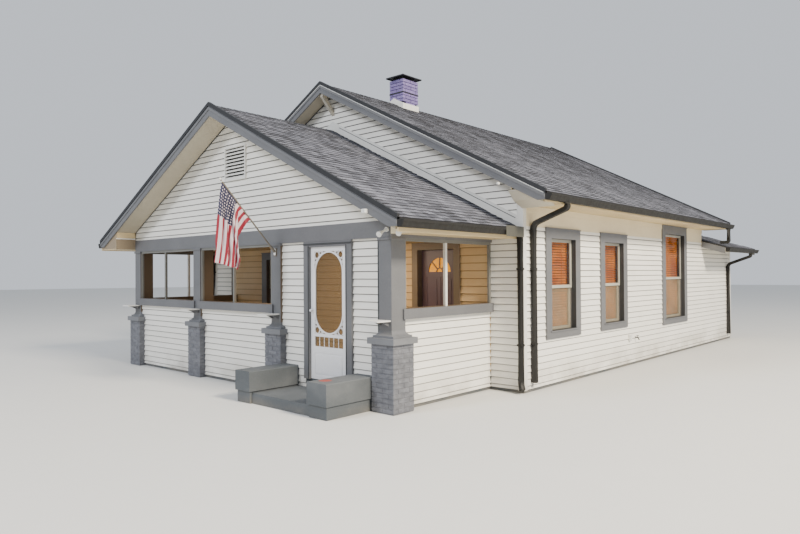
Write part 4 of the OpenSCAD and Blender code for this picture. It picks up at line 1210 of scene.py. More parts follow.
@dataclass
class LapSiding:
    """Lap siding boards on every outer wall and on the wall inside the porch."""

    exposure: float = 0.108
    inner_exposure: float = 0.13
    board: float = 0.022
    taper: float = 0.018
    lip: float = 0.003
    foot: float = 0.05
    porch_insets: Span = (0.015, 0.037)
    corner_board: float = 0.09
    side_start: float = 0.086
    rear_wall: float = 0.152
    frieze: float = 0.33
    frieze_back: float = 0.004
    bed_mould: Span = (0.10, 0.008)
    post_lap: float = 0.05

    def panel(self, facing: Facing, face: float, along: Span, rise: Span, holes: Sequence[Triple] = (),
              gable: Gable | None = None, exposure: float | None = None) -> Piece:
        """Makes the boards of one wall as a panel with a stepped face.

        Args:
            facing: Side that it looks to.
            face: Distance of its outer face from the origin.
            along: Its ends along the wall.
            rise: Its lowest and highest level.
            holes: What is cut out, as along from, to, and level from, to.
            gable: The roof that cuts its top, if any.
            exposure: Height of a course, if not the usual one.

        Returns:
            The panel.
        """
        step = exposure or self.exposure
        obj = block((along[0], -face, rise[0]), (along[1], -face + self.board, rise[1]))
        if gable:
            cut(obj, gable.planes())
        levels = [k * step for k in range(math.ceil(rise[0] / step + 0.1), math.ceil(rise[1] / step))]
        if levels:
            cut(obj, [((0, 0, z), (0, 0, 1)) for level in levels for z in (level - self.lip, level)], clear=False)
            tops = {round((level - self.lip) / NEAR) for level in levels}
            shift(obj, lambda p: p.y < -face + NEAR and round(p.z / NEAR) in tops, (0, self.taper, 0))
        if holes:
            carve(obj, blocks([((a, -face - 0.1, c), (b, -face + self.board + 0.05, d)) for a, b, c, d in holes]))
        obj.data.transform(facing.turn())
        return obj

    def casing_holes(self, facing: Facing, low: float, high: float) -> list[Triple]:
        """Outlines for panel() of the casings on one side between two places along it."""
        casings = [place.casing for place in window_places() if place.facing is facing]
        return [(c.lo.x, c.hi.x, c.lo.z, c.hi.z) for c in casings if low < c.lo.x and c.hi.x < high]

    def sides(self, half: float, split: float, rear_ends: Span, rear_top: float) -> dict[str, Piece]:
        """Boards of both long walls, and their friezes under the eaves.

        Args:
            half: Distance of the boards' face from the middle of the house.
            split: Where the main block ends, along Y.
            rear_ends: Ends of the rear room's wall, along Y.
            rear_top: Top of the rear room's wall.

        Returns:
            The boards by name; the friezes are handed over.
        """
        level = max(solid.lo.z for solid in solids_of("eave_soffits"))
        mould, proud = self.bed_mould
        made, friezes = {}, []
        for facing, name, way in ((Facing.RIGHT, "right", 1), (Facing.LEFT, "left", -1)):
            ends = sorted((way * self.side_start, way * split))
            back = sorted((way * rear_ends[0], way * rear_ends[1]))
            holes = self.casing_holes(facing, *ends)
            made[name + "_siding"] = self.panel(facing, half, ends, (self.foot, level - self.frieze), holes)
            made[name + "_rear_siding"] = self.panel(facing, half, back, (self.foot, rear_top),
                                                     self.casing_holes(facing, *back))
            for face, rise in ((half - self.frieze_back, (level - self.frieze, level - mould)),
                               (half + proud, (level - mould, level))):
                friezes.append(self.panel(facing, face, ends, rise, holes, exposure=SKY))
        hand_over("eave_friezes", friezes, FRIEZE, 0.003)
        return made

    def porch(self, beam: Box) -> dict[str, Piece]:
        """Boards of the porch's half walls, door walls and gable.

        Args:
            beam: Box of the porch beam.

        Returns:
            The boards by name.
        """
        posts = solids_of("porch_posts")
        middles = [p.centre.x for p in posts]
        walls, door, vent = (box_of(n) for n in ("porch_half_walls", "screen_door_frame", "gable_vent"))
        front, back = -walls.lo.y + self.board, posts[0].hi.y - self.post_lap
        low, full = (self.foot, walls.hi.z), (self.foot, beam.lo.z)
        rows = {"front_siding_1": (Facing.FRONT, front, middles[:2], low),
                "front_siding_2": (Facing.FRONT, front, middles[1:3], low),
                "door_siding_left": (Facing.FRONT, front, (middles[2], door.lo.x), full),
                "door_siding_right": (Facing.FRONT, front, (door.hi.x, middles[3]), full),
                "right_siding": (Facing.RIGHT, walls.hi.x + self.board, (back, 0.0), low),
                "left_siding": (Facing.LEFT, -walls.lo.x + self.board, (0.0, -back), low),
                "gable_siding": (Facing.FRONT, -box_of("porch_gable_wall").lo.y + self.board,
                                 (beam.lo.x, beam.hi.x), (beam.hi.z, SKY),
                                 [(vent.lo.x, vent.hi.x, vent.lo.z, vent.hi.z)], Roof.PORCH.under())}
        return {"porch_" + name: self.panel(*row) for name, row in rows.items()}

    def build(self) -> None:
        """Makes and hands over every panel."""
        core, beam, ceiling = box_of("right_wall"), box_of("porch_beam"), box_of("porch_ceiling")
        half, end, wide = core.hi.x + self.board, core.hi.y + self.board, core.hi.x - self.corner_board
        main, rear = Roof.MAIN.under(), Roof.REAR.under()
        rear_top = rear.ridge - rear.pitch * half
        split = box_of("rear_roof").lo.y + self.rear_wall
        inside = (beam.lo.x + self.porch_insets[0], beam.hi.x - self.porch_insets[1])
        outer = self.sides(half, split, (split, end - self.side_start), rear_top)
        outer["front_siding"] = self.panel(Facing.FRONT, 0.0, (-wide, wide), (self.foot, SKY),
                                           [(*inside, 0.0, ceiling.hi.z)], main)
        outer["rear_siding"] = self.panel(Facing.REAR, end, (-wide, wide), (self.foot, SKY),
                                          self.casing_holes(Facing.REAR, -wide, wide), rear)
        roof = cut(block((-6, split - 0.2, 0), (6, split + 0.2, Roof.MAIN.slab().hi.z)), Roof.REAR.top().planes())
        above = self.panel(Facing.REAR, split, (-wide, wide), (rear_top, SKY), gable=main)
        outer["rear_gable_siding"] = carve(above, [roof])
        for name, obj in (outer | self.porch(beam)).items():
            hand_over(name, [obj], SIDING)
        door = box_of("entry_door_frame")
        holes = self.casing_holes(Facing.FRONT, beam.lo.x, beam.hi.x)
        holes.append((door.lo.x, door.hi.x, 0.0, door.hi.z + 0.01))
        inner = self.panel(Facing.FRONT, 0.0, inside, (box_of("porch_floor").hi.z, ceiling.lo.z), holes,
                           exposure=self.inner_exposure)
        hand_over("porch_inner_siding", [inner], INNER_SIDING)


# Roof

@dataclass
class ShingleRoof:
    """Laminated asphalt shingles in courses of random tabs, ridge caps, metal edges and crown strips."""

    exposure: float = 0.127
    tile_length: float = 1.44
    tile_courses: int = 8
    tile_lead: float = 0.25
    tab_widths: Span = (0.09, 0.24)
    tab_reaches: Triple = (0.0, 0.004, 0.012)
    butt: Span = (0.007, 0.014)
    head: float = 0.0012
    sunk: float = 0.004
    slot: float = 0.003
    cap_half: float = 0.15
    cap_length: float = 1.15  # in exposures
    cap_levels: Span = (0.001, 0.011)
    cap_lapped: float = 0.007
    edge_height: float = 0.016
    edge_out: float = 0.007
    black_edge: Triple = (0.045, 0.0252, 0.045)
    crown: Span = (0.052, 0.012)

    def tile(self) -> Piece:
        """Makes the repeating field of tabs, flat, with the slope running along X.

        Returns:
            The field.
        """
        rng = random.Random(41)
        tabs = []
        for course in range(self.tile_courses):
            top, end = course * self.exposure, 0.0
            start = rng.uniform(0, 0.2)
            while end < self.tile_length - 1e-6:
                width = rng.uniform(*self.tab_widths)
                if self.tile_length - end - width < self.tab_widths[0]:
                    width = self.tile_length - end
                rise = rng.uniform(*self.butt)
                reach = self.exposure + rng.choice(self.tab_reaches)
                tab = block((top, start + end, -self.sunk), (top + reach, start + end + width - self.slot, rise))
                shift(tab, lambda p, t=top: p.x < t + NEAR and p.z > 0, (0, 0, self.head - rise))
                tabs.append(tab)
                end += width
        return join(tabs)

    def field(self, tile: Piece, roof: Gable, run: float, ends: Span, side: int) -> Piece:
        """Covers one slope with tabs.

        Args:
            tile: The repeating field.
            roof: The surface of the shingles.
            run: Level distance from the ridge to the eave.
            ends: The slope's ends along Y.
            side: 1 for the driveway side, -1 for the other.

        Returns:
            The tabs of the slope.
        """
        angle, length, step = math.atan(roof.pitch), ends[1] - ends[0], self.exposure * self.tile_courses
        slope = run / math.cos(angle)
        field = twin(tile, Matrix.Translation((0, -self.tile_lead, 0)))
        array(field, math.ceil(slope / step), (step, 0, 0))
        array(field, math.ceil((length + self.tile_lead) / self.tile_length), (0, self.tile_length, 0))
        cut(field, [((slope, 0, 0), (1, 0, 0)), ((0, 0, 0), (0, -1, 0)), ((0, length, 0), (0, 1, 0))])
        place = Matrix.Translation((0, ends[0] if side > 0 else ends[1], roof.ridge))
        half_turn = Matrix.Rotation(0 if side > 0 else math.pi, 4, "Z")
        field.data.transform(place @ half_turn @ Matrix.Rotation(angle, 4, "Y"))
        return field

    def ridge_caps(self, roof: Gable, ends: Span) -> Piece:
        """Bends a row of cap shingles over a ridge.

        Args:
            roof: The surface of the shingles.
            ends: The ridge's ends along Y.

        Returns:
            The caps.
        """
        reach, (low, high) = self.cap_half, self.cap_levels
        cap = block((-reach, 0, low), (reach, self.exposure * self.cap_length, high))
        shift(cap, lambda p: p.y > self.exposure and p.z > high / 2, (0, 0, -self.cap_lapped))
        cut(cap, [((0, 0, 0), (1, 0, 0))], clear=False)
        shift(cap, lambda p: abs(p.x) > reach - NEAR, (0, 0, -roof.pitch * reach))
        cap.data.transform(Matrix.Translation((0, ends[0], roof.ridge)))
        array(cap, math.ceil((ends[1] - ends[0]) / self.exposure), (0, self.exposure, 0))
        return cut(cap, [((0, ends[1], 0), (0, 1, 0))])

    def build(self) -> None:
        """Makes and hands over the tabs, the caps, the metal edges and the crown strips."""
        dress(SHINGLES, "roof_shingles")
        slabs = {roof: roof.slab() for roof in Roof}
        main, porch, rear = slabs.values()
        ends = {Roof.MAIN: (main.lo.y, main.hi.y), Roof.PORCH: (porch.lo.y, box_of("roof_flashing").lo.y - 0.002),
                Roof.REAR: (rear.lo.y + 0.024, rear.hi.y)}
        tile = self.tile()
        fields = [self.field(tile, roof.top(), slabs[roof].hi.x, ends[roof], side)
                  for side in (1, -1) for roof in Roof]
        bpy.data.objects.remove(tile, do_unlink=True)
        hand_over("shingle_tabs", fields, SHINGLES)
        hand_over("shade_darkened_ridge_caps", [self.ridge_caps(roof.top(), ends[roof]) for roof in Roof], RIDGE_SHINGLES)
        self.edges(main, porch)

    def edges(self, main: Box, porch: Box) -> None:
        """Adds drip edges, black metal edges over the rakes and crown strips on the rake boards.

        Args:
            main: Box of the main roof's shingles.
            porch: Box of the porch roof's shingles.
        """
        (over, under, width), (crown, proud) = self.black_edge, self.crown
        top, low = Roof.MAIN.top(), under + self.edge_height
        front = min(b.lo.y for b in solids_of("rake_boards") if b.hi.z > main.hi.z - 0.1)
        strips, edges, crowns = [], [], []
        for plane, way in ((front, -1), (box_of("rake_boards").hi.y, 1)):
            strips += top.bars((0.0, box_of("main_roof").hi.x), sorted((plane, plane + way * self.edge_out)),
                               (under, low))
        for roof, slab, plane, way in ((top, main, main.lo.y, -1), (top, main, main.hi.y, 1),
                                       (Roof.PORCH.top(), porch, porch.lo.y, -1)):
            edges += roof.bars((0.0, slab.hi.x), sorted((plane + way * 0.002, plane - way * width)), (-over, under))
            crowns += roof.bars((0.0, slab.hi.x - 0.012), sorted((plane, plane - way * proud)), (low, low + crown))
        hand_over("rake_drip_edges", strips, WHITE_METAL)
        hand_over("black_rake_edges", edges, BLACK_METAL)
        hand_over("rake_crown_strips", crowns, TRIM, 0.003)


@dataclass
class RearRoof:
    """Trim of the low rear gable: boards over the deck's ends and flashing against the main gable."""

    board: float = 0.010
    drop: float = 0.026
    height: float = 0.150
    boards_out: float = 0.028
    flashing: Triple = (0.11, 0.012, 0.008)
    flashing_place: float = 0.022

    def build(self) -> None:
        """Makes and hands over the boards and the flashing."""
        dress(RAKE_SOFFIT, "rear_roof")
        deck, slab, top = box_of("rear_roof"), Roof.REAR.slab(), Roof.REAR.top()
        wall = box_of("right_wall").hi.x + self.boards_out
        boards = []
        for inner, start in ((0.0, deck.hi.y), (wall, slab.lo.y - self.board)):
            boards += top.bars((inner, deck.hi.x), (start, start + self.board),
                               (self.drop, self.drop + self.height))
        hand_over("rear_rake_boards", boards, TRIM, 0.002)
        start, (rise, gap, thick) = slab.lo.y + self.flashing_place, self.flashing
        hand_over("rear_flashing", top.bars((0.0, wall - 0.03), (start, start + thick), (-rise, -gap)),
                  WHITE_METAL)


# Brickwork

def collar(shaft: Box, thick: float, rise: Span) -> Piece:
    """Puts a band round a shaft.

    Args:
        shaft: The shaft's box.
        thick: Thickness of the band.
        rise: Its underside and top.

    Returns:
        The band.
    """
    grow = Vector((thick, thick, 0))
    (x0, y0, _), (x1, y1, _) = shaft.lo - grow, shaft.hi + grow
    hole = block((shaft.lo.x, shaft.lo.y, rise[0] - 0.1), (shaft.hi.x, shaft.hi.y, rise[1] + 0.1))
    return carve(block((x0, y0, rise[0]), (x1, y1, rise[1])), [hole])


@dataclass
class BrickWork:
    """Painted brick piers and chimney, laid in alternating courses of six bricks round a core."""

    course: float = 0.0675
    joint: float = 0.0105
    brick_depth: float = 0.092
    recess: float = 0.006
    eased: float = 0.0035
    hidden_foot: float = 0.06
    strap_rise: Span = (5.954, 5.986)
    strap_t: float = 0.004
    flashing_t: float = 0.008
    flashing_height: float = 0.13

    def layer(self, shaft: Box, level: float, height: float, turned: bool) -> list[Piece]:
        """Lays one course of six bricks.

        Args:
            shaft: The shaft's box.
            level: Underside of the course.
            height: Height of a brick.
            turned: Whether the long rows lie on the sides.

        Returns:
            The bricks.
        """
        d, j = self.brick_depth, self.joint
        a, b = (1, 0) if turned else (0, 1)
        low, high = shaft.lo, shaft.hi
        middle = (low[a] + high[a]) / 2
        cells = []
        for b0, b1 in ((low[b], low[b] + d), (high[b] - d, high[b])):
            cells += [(low[a], middle - j / 2, b0, b1), (middle + j / 2, high[a], b0, b1)]
        for a0, a1 in ((low[a], low[a] + d), (high[a] - d, high[a])):
            cells.append((a0, a1, low[b] + d + j, high[b] - d - j))
        bricks = []
        for a0, a1, b0, b1 in cells:
            lo, hi = [0.0, 0.0, level], [0.0, 0.0, level + height]
            lo[a], hi[a], lo[b], hi[b] = a0, a1, b0, b1
            bricks.append(block(lo, hi))
        return bricks

    def shaft(self, box: Box) -> Piece:
        """Stacks courses to a box's height round a mortar core.

        Args:
            box: Its box.

        Returns:
            The shaft.
        """
        count = 2 * round(box.size.z / self.course / 2)
        course = box.size.z / count
        height, foot = course - self.joint, box.lo.z + self.joint
        pair = self.layer(box, foot, height, False) + self.layer(box, foot + course, height, True)
        bricks = array(rounded(join(pair), self.eased), count // 2, (0, 0, 2 * course))
        inset = Vector((self.recess, self.recess, 0))
        return join([bricks, block(box.lo + inset, box.hi - inset)])

    def under_roof(self, roof: Gable, shaft: Box) -> Piece:
        """Solid of what lies under a roof's surface round a shaft, to cut with."""
        return cut(block((-1, shaft.lo.y - 0.5, roof.ridge - 1), (1, shaft.hi.y + 0.5, roof.ridge + 0.2)),
                   roof.planes())

    def build(self) -> None:
        """Makes and hands over the piers, the chimney, its flashing and its strap."""
        shafts = solids_of("brick_piers")
        first = self.shaft(shafts[0])
        piers = [first] + [twin(first, Matrix.Translation(s.lo - shafts[0].lo)) for s in shafts[1:]]
        hand_over("pier_bricks", piers, PIER_BRICK, instead_of=["brick_piers"])
        stack, roof = box_of("chimney_stack"), Roof.MAIN.top()
        low = Box(stack.lo - Vector((0, 0, self.hidden_foot)), stack.hi)
        hand_over("chimney_bricks", [carve(self.shaft(low), [self.under_roof(roof, stack)])], CHIMNEY_BRICK,
                  instead_of=["chimney_stack"])
        flashing = collar(stack, self.flashing_t, (low.lo.z, roof.ridge + 0.3))
        carve(flashing, [self.under_roof(roof, stack)])
        cut(flashing, Gable(roof.ridge + self.flashing_height, roof.pitch).planes())
        hand_over("chimney_flashing", [flashing], WHITE_METAL)
        hand_over("chimney_strap", [collar(stack, self.strap_t, self.strap_rise)], BLACK_METAL)


@dataclass
class ChimneyCap:
    """Sheet metal cap with folded seams on its hips and a rolled rim."""

    seam: float = 0.008
    rim_rise: float = 0.07
    rim: float = 0.012
    rim_band: Span = (-0.018, 0.006)
    crest: float = 0.17

    def build(self) -> None:
        """Dresses the cap and adds its seams."""
        dress(BLACK_METAL, "chimney_cap")
        cap, stack = box_of("chimney_cap"), box_of("chimney_stack")
        level, middle, seams = stack.hi.z + self.rim_rise, stack.centre, []
        for x in (cap.lo.x, cap.hi.x):
            for y in (cap.lo.y, cap.hi.y):
                foot = (x * 0.985 + middle.x * 0.015, y * 0.998 + middle.y * 0.002, level + 0.004)
                top = (middle.x, middle.y + (y - middle.y) * self.crest, cap.hi.z - 0.008)
                seams.append(rod(foot, top, self.seam, 8))
        hand_over("chimney_cap_seams", [smooth(join(seams))], BLACK_METAL)
        inset = Vector((self.rim, self.rim, 0))
        rim = collar(Box(cap.lo + inset, cap.hi - inset), self.rim, [level + z for z in self.rim_band])
        hand_over("chimney_cap_rim", [rim], BLACK_METAL, 0.003)


# Rain goods

@dataclass
class RainGoods:
    """Bronze gutters with end caps, hangers and a splash guard, and folded downspouts with straps."""

    sheet: float = 0.003
    hanger: Span = (0.004, 0.011)
    hanger_step: float = 0.75
    cap_chamfer: Span = (0.66, 0.75)
    guard: Triple = (0.5, 0.1, 0.03)
    guard_rise: float = 0.035
    elbow: float = 0.09
    shoe_elbow: float = 0.05
    pipe_depth: float = 0.075
    offset: Span = (0.085, 0.30)
    kick: Span = (0.04, 0.028)
    strap: Span = (0.002, 0.03)
    strap_levels: Span = (0.75, 1.95)

    def gutters(self) -> None:
        """Adds caps, hangers and the splash guards to the troughs."""
        dress(BRONZE, "roof_gutters")
        parts, guards = [], []
        margin, half = self.hanger
        start, slope = self.cap_chamfer
        for trough in solids_of("roof_gutters"):
            (side, inner, outer), low, high, size = trough.outward, trough.lo, trough.hi, trough.size
            for plane, way in ((low.y, -1), (high.y, 1)):
                cap = block((inner, plane, low.z), (outer, plane + way * self.sheet, high.z))
                parts.append(cut(cap, [((inner + side * size.x * start, plane, low.z),
                                        (side * slope * size.z, 0, (start - 1) * size.x))]))
            count = round(size.y / self.hanger_step)
            for y in (low.y + size.y * i / count for i in range(1, count)):
                parts.append(block((low.x + margin, y - half, high.z - 0.012),
                                   (high.x - margin, y + half, high.z - 0.009)))
            if low.y < -2:
                long, deep, drop = self.guard
                foot, top = low.z - drop, high.z + self.guard_rise
                guards += blocks([((outer, high.y - long, foot), (outer + side * self.sheet, high.y, top)),
                                  ((outer, high.y - self.sheet, foot), (outer - side * deep, high.y, top))])
        hand_over("gutter_fittings", parts, BRONZE, 0.0012)
        hand_over("splash_guards", guards, GUARD_METAL, 0.0012)

    def downspouts(self) -> None:
        """Replaces the plain downspouts by folded pipes with rounded edges."""
        pipes, straps, deep = [], [], self.pipe_depth
        for solid in solids_of("downspouts"):
            (side, inner, outer), y, foot, top = solid.outward, solid.centre.y, solid.lo.z, solid.hi.z
            bent = solid.size.x > 0.2
            wide = solid.size.y if bent else solid.size.x
            across, along = (deep, wide) if bent else (wide, deep)
            near, far = inner + side * across / 2, outer - side * deep / 2
            if solid.size.z < 1:
                low = foot + deep / 2
                path = [(far, y, top), (far, y, low), (near - side * deep / 2, y, low)]
                pipes.append(folded_pipe(path, wide, deep, self.shoe_elbow))
                continue
            path = [(near, y, top), (near, y, self.elbow + foot),
                    (near + side * self.kick[0], y - self.kick[1], foot)]
            if bent:
                path = [(far, y, top), (far, y, top - self.offset[0]), (near, y, top - self.offset[1]), path[1]]
            pipes.append(folded_pipe(path, along, across, self.elbow))
            gap, high = self.strap
            for level in self.strap_levels:
                straps.append(block((near - across / 2 - gap, y - along / 2 - gap, level),
                                    (near + across / 2 + gap, y + along / 2 + gap, level + high)))
        hand_over("folded_downspouts", [smooth(join(pipes))], BRONZE,
                  instead_of=["downspouts"])
        hand_over("downspout_straps", straps, BRONZE, 0.002)

    def build(self) -> None:
        """Makes the gutters' fittings and the downspouts."""
        self.gutters()
        self.downspouts()


# Porch and doors

@dataclass
class Porch:
    """Boards of the porch: mullion covers, neck moulds, corner strip, shelves' brackets and flood lamps."""

    cover: float = 0.002
    mould: Span = (0.018, 0.035)
    strip: Span = (3.575, 3.637)
    strip_foot: float = 0.30
    strip_depths: Span = (0.028, 0.004)
    bracket: Triple = (0.014, 0.16, 0.07)
    bracket_insets: Span = (0.07, 0.05)
    lamps: tuple[Span, Span] = ((3.80, 0.2), (4.14, 0.3))
    lamp_drop: float = 0.13
    base: Span = (0.028, 0.032)
    neck: Triple = (0.10, -0.11, -0.05)
    neck_radius: float = 0.014
    shade: Triple = (0.042, 0.020, 0.09)
    shade_out: float = 0.03

    def build(self) -> None:
        """Dresses the porch's nodes and adds its boards and fittings."""
        dress(PORCH_TRIM, "porch_beam", "porch_posts", "porch_sills")
        dress(MULLION_PAINT, "porch_mullions")
        dress(CEILING, "porch_ceiling")
        dress(CONCRETE, "porch_floor", "entry_step", "main_foundation")
        dress(CAP_CONCRETE, "pier_caps")
        dress(WHITE_TRIM, "post_shelves")
        grow, (out, down), beam = Vector((self.cover, self.cover, 0)), self.mould, box_of("porch_beam")
        covers = [(b.lo - grow, b.hi + grow) for b in solids_of("porch_mullions")
                  if abs(b.centre.x) > 3.55 and -1.3 < b.centre.y < -1.1]
        hand_over("side_mullion_covers", blocks(covers), WHITE_TRIM, 0.002)
        under = beam.lo.z
        moulds = [((post.lo.x - out, post.lo.y - out, under - down), (post.hi.x + out, post.hi.y, under - 0.001))
                  for post in solids_of("porch_posts")]
        hand_over("post_neck_moulds", blocks(moulds), TRIM, 0.003)
        front, back = (box_of("porch_door_walls").lo.y - depth for depth in self.strip_depths)
        strip = block((self.strip[0], front, self.strip_foot), (self.strip[1], back, beam.lo.z))
        hand_over("corner_strip", [strip], REVEAL_PAINT_AND_SHADE, 0.003)
        self.shelf_brackets()
        self.floodlights(beam)

    def shelf_brackets(self) -> None:
        """Two thin brackets under each post's shelf."""
        thick, reach, drop = self.bracket
        brackets = []
        for shelf in solids_of("post_shelves"):
            y, z = shelf.hi.y, shelf.lo.z
            for x in (shelf.lo.x + self.bracket_insets[0], shelf.hi.x - self.bracket_insets[1]):
                arm = block((x, y - reach, z - drop), (x + thick, y, z))
                brackets.append(cut(arm, [((x, y, z - drop), (0, -drop, -reach))]))
        hand_over("shelf_brackets", brackets, TRIM, 0.002)

    def floodlights(self, beam: Box) -> None:
        """Two white flood lamps on the beam beside the right corner post.

        Args:
            beam: Box of the beam.
        """
        parts, z = [], beam.hi.z - self.lamp_drop
        wide, narrow, long = self.shade
        for x, turn in self.lamps:
            hub = Vector((x, beam.lo.y - self.base[0], z))
            aim = hub + Vector((self.neck[0] * turn, *self.neck[1:]))
            way = (aim - hub).normalized()
            rim, back = (aim + way * (self.shade_out + end * long / 2) for end in (1, -1))
            parts += [rod((x, beam.lo.y, z), hub, self.base[1], 20), rod(hub, aim, self.neck_radius, 12),
                      rounded(rod(rim, back, wide, 24, narrow), 0.006, 2)]
        hand_over("flood_lamps", [smooth(join(parts))], WHITE_METAL)


@dataclass
class Doors:
    """Finishes of both doors, and dark strips round the screen door's casing, painted shade of its jambs."""

    leaf_right: float = 2.938  # the node's box has the hinges too
    gap: float = 0.003
    foot: float = 0.30
    side_shade_strips: tuple[Span, Span] = ((-0.026, -0.003), (0.012, 0.026))
    head_shade_strip: Span = (0.03, 0.055)

    def build(self) -> None:
        """Dresses the doors' nodes and adds the strips of painted shade."""
        for finish, node in ((DOOR_WHITE, "screen_door"), (INSECT_SCREEN, "screen_mesh"),
                             (TRIM, "screen_door_frame"), (INNER_TRIM, "entry_door_frame"),
                             (DOOR_PLUM, "entry_door"), (AMBER, "entry_door_glass")):
            dress(finish, node)
        casing, leaf = box_of("screen_door_frame"), box_of("screen_door")
        edge, top = casing.lo.y, leaf.hi.z
        low, high = self.head_shade_strip
        boards = [((casing.lo.x, edge - 0.010, top + low), (casing.hi.x, edge + 0.001, top + high))]
        for jamb, (a, b) in zip((leaf.lo.x - self.gap, self.leaf_right + self.gap), self.side_shade_strips):
            boards.append(((jamb + a, edge - 0.006, self.foot), (jamb + b, edge + 0.001, top + 0.02)))
        hand_over("door_jamb_shade_strips", blocks(boards), REVEAL_PAINT_AND_SHADE, 0.002)


# Roof edges

@dataclass
class Eaves:
    """Finishes under the roof's edges, sloped soffits, and the closing boards of the boxed eaves."""

    soffit_t: float = 0.045
    # width and height of the dark strip of painted shade along the wall under the rake soffits
    gap: Span = (0.010, 0.014)
    board: float = 0.014
    bulge: float = 0.030
    bend: float = 0.55
    bend_runs: Span = (4.36, 4.7)
    plain_start: float = 4.45
    box_start: float = 4.3
    return_front: Span = (4.400, 4.640)
    return_back: Span = (4.452, 4.512)
    return_rise: Span = (2.935, 3.185)
    wall_gap: float = 0.006
    ledge: float = 2.665
    level_cuts: tuple[Triple, ...] = ((-2.9, -2.8, 2.508), (-0.4, -0.3, 2.992), (9.0, 9.1, 2.992))

    def build(self) -> None:
        """Dresses the nodes of the eaves, the gables and the walls' cores, and makes the boards."""
        dress(RAKE_SOFFIT, "main_roof", "porch_roof")
        dress(SOFFIT, "eave_fascias")
        dress(BRACE, "knee_brace")
        dress(WHITE_TRIM, "corner_boards", "roof_flashing")
        dress(PLASTER, "front_wall_left", "front_wall_right", "front_gable_wall", "right_wall", "left_wall",
              "rear_walls", "porch_half_walls", "porch_door_walls", "porch_gable_wall")
        cutters = blocks([((-6, low, z - 0.5), (6, high, z)) for low, high, z in self.level_cuts])
        self.cut_copy("level_cut_rake_boards", "rake_boards", cutters, TRIM)
        self.rake_soffits()
        self.main_returns()
        self.porch_returns()

    def cut_copy(self, name: str, node: str, cutters: Sequence[Piece], finish: Finish) -> None:
        """Replaces a CAD node by a copy that is cut back."""
        copy = merge(twin(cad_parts[node], Matrix()))
        hand_over(name, [carve(copy, cutters)], finish, instead_of=[node])

    def rake_soffits(self) -> None:
        """Sloped boards under the decks where they overhang the gable walls, with painted shade at the wall."""
        boards, shade_strips = [], []
        wall = -box_of("porch_gable_wall").lo.y + 0.022
        wide, high = self.gap
        for roof, back in ((Roof.PORCH, -wall), (Roof.MAIN, 0.0)):
            under, deck = roof.under(), box_of(roof.value)
            boards += under.bars((0.0, deck.hi.x - 0.03), (deck.lo.y + 0.001, back - 0.001), (0.0, self.soffit_t))
            shade_strips += under.bars((0.0, deck.hi.x - 0.6), (back - wide, back - 0.001),
                               (self.soffit_t, self.soffit_t + high))
        hand_over("rake_soffit_boards", boards, RAKE_SOFFIT)
        hand_over("rake_soffit_painted_shade", shade_strips, REVEAL_PAINT_AND_SHADE)

    def slanted(self, runs: Span, front: float, side: int) -> Piece:
        """Board that bends down and back from the rake to the corner board.

        Args:
            runs: Its inner and outer distance from the ridge.
            front: Place of its front edge along Y.
            side: 1 for the driveway side, -1 for the other.

        Returns:
            The board.
        """
        (low, high), middle = self.return_rise, front * self.bend
        obj = block((side * runs[0], front, low - self.board), (side * runs[1], -0.004, low))
        cut(obj, [((0, middle, 0), (0, 1, 0))], clear=False)
        shift(obj, lambda p: p.y < front + NEAR, (0, 0, high - low))
        shift(obj, lambda p: abs(p.y - middle) < NEAR, (0, -self.bulge, (high - low) * self.bend - self.bulge))
        under = Roof.MAIN.under()
        return cut(obj, [((0, 0, under.ridge), (side * under.pitch, 0, 1))])

    def main_returns(self) -> None:
        """Cuts the main eaves' boxes back under a bent board at their front ends."""
        front, edge, beam = box_of("main_roof").lo.y, box_of("main_roof").hi.x, box_of("porch_beam")
        low, high = self.return_rise
        (near, far), (near_back, far_back) = self.return_front, self.return_back
        cutters, bends, plain = [], [], []
        for side in (1, -1):
            box = block((side * self.box_start, front - 0.1, low - 0.1),
                        (side * (edge + 0.01), -self.wall_gap, high + 0.3))
            cutters.append(cut(box, [((0, -self.wall_gap, low), (0, high - low, -front))]))
            across = Vector((-side * front, far - far_back, 0))
            fold = (side * far, front, 0)
            bends.append(cut(self.slanted(self.bend_runs, front, side), [
                (fold, across), ((side * near, front, 0), (side * front, near_back - near, 0))]))
            plain.append(cut(self.slanted((self.plain_start, edge), front, side), [(fold, -across)]))
        cutters.append(block((beam.hi.x - 0.05, -3, 2.3), (4.4, beam.lo.y, 2.9)))
        self.cut_copy("boxed_eave_soffits", "eave_soffits", cutters, SOFFIT)
        hand_over("eave_returns", bends, BRACE)
        hand_over("eave_return_fillers", plain, BRACE)

    def porch_returns(self) -> None:
        """Closes the porch eaves' boxes behind the rake boards."""
        under, beam, roof = Roof.PORCH.under(), box_of("porch_beam"), box_of("porch_roof")
        front, x = roof.lo.y, beam.lo.x
        level = min(b.lo.z for b in solids_of("eave_soffits"))
        right = block((beam.hi.x, beam.lo.y - 0.006, level), (roof.hi.x - 0.022, beam.lo.y, 3))
        left = block((-roof.hi.x, front + 0.0005, level), (x + 0.004, front + self.board, 3))
        for obj, plane in zip((left, right), under.planes()):
            cut(obj, [plane])
        hand_over("porch_box_end", [right], FRIEZE)
        cover = block((x, front, level), (x + 0.004, beam.lo.y, self.ledge))
        hand_over("left_porch_return", [left, cover], RETURN_TAN)
        ledge = block((x, front, self.ledge), (x + 0.016, beam.lo.y, self.ledge + 0.022))
        hand_over("left_return_ledge", [ledge], WHITE_TRIM, 0.002)


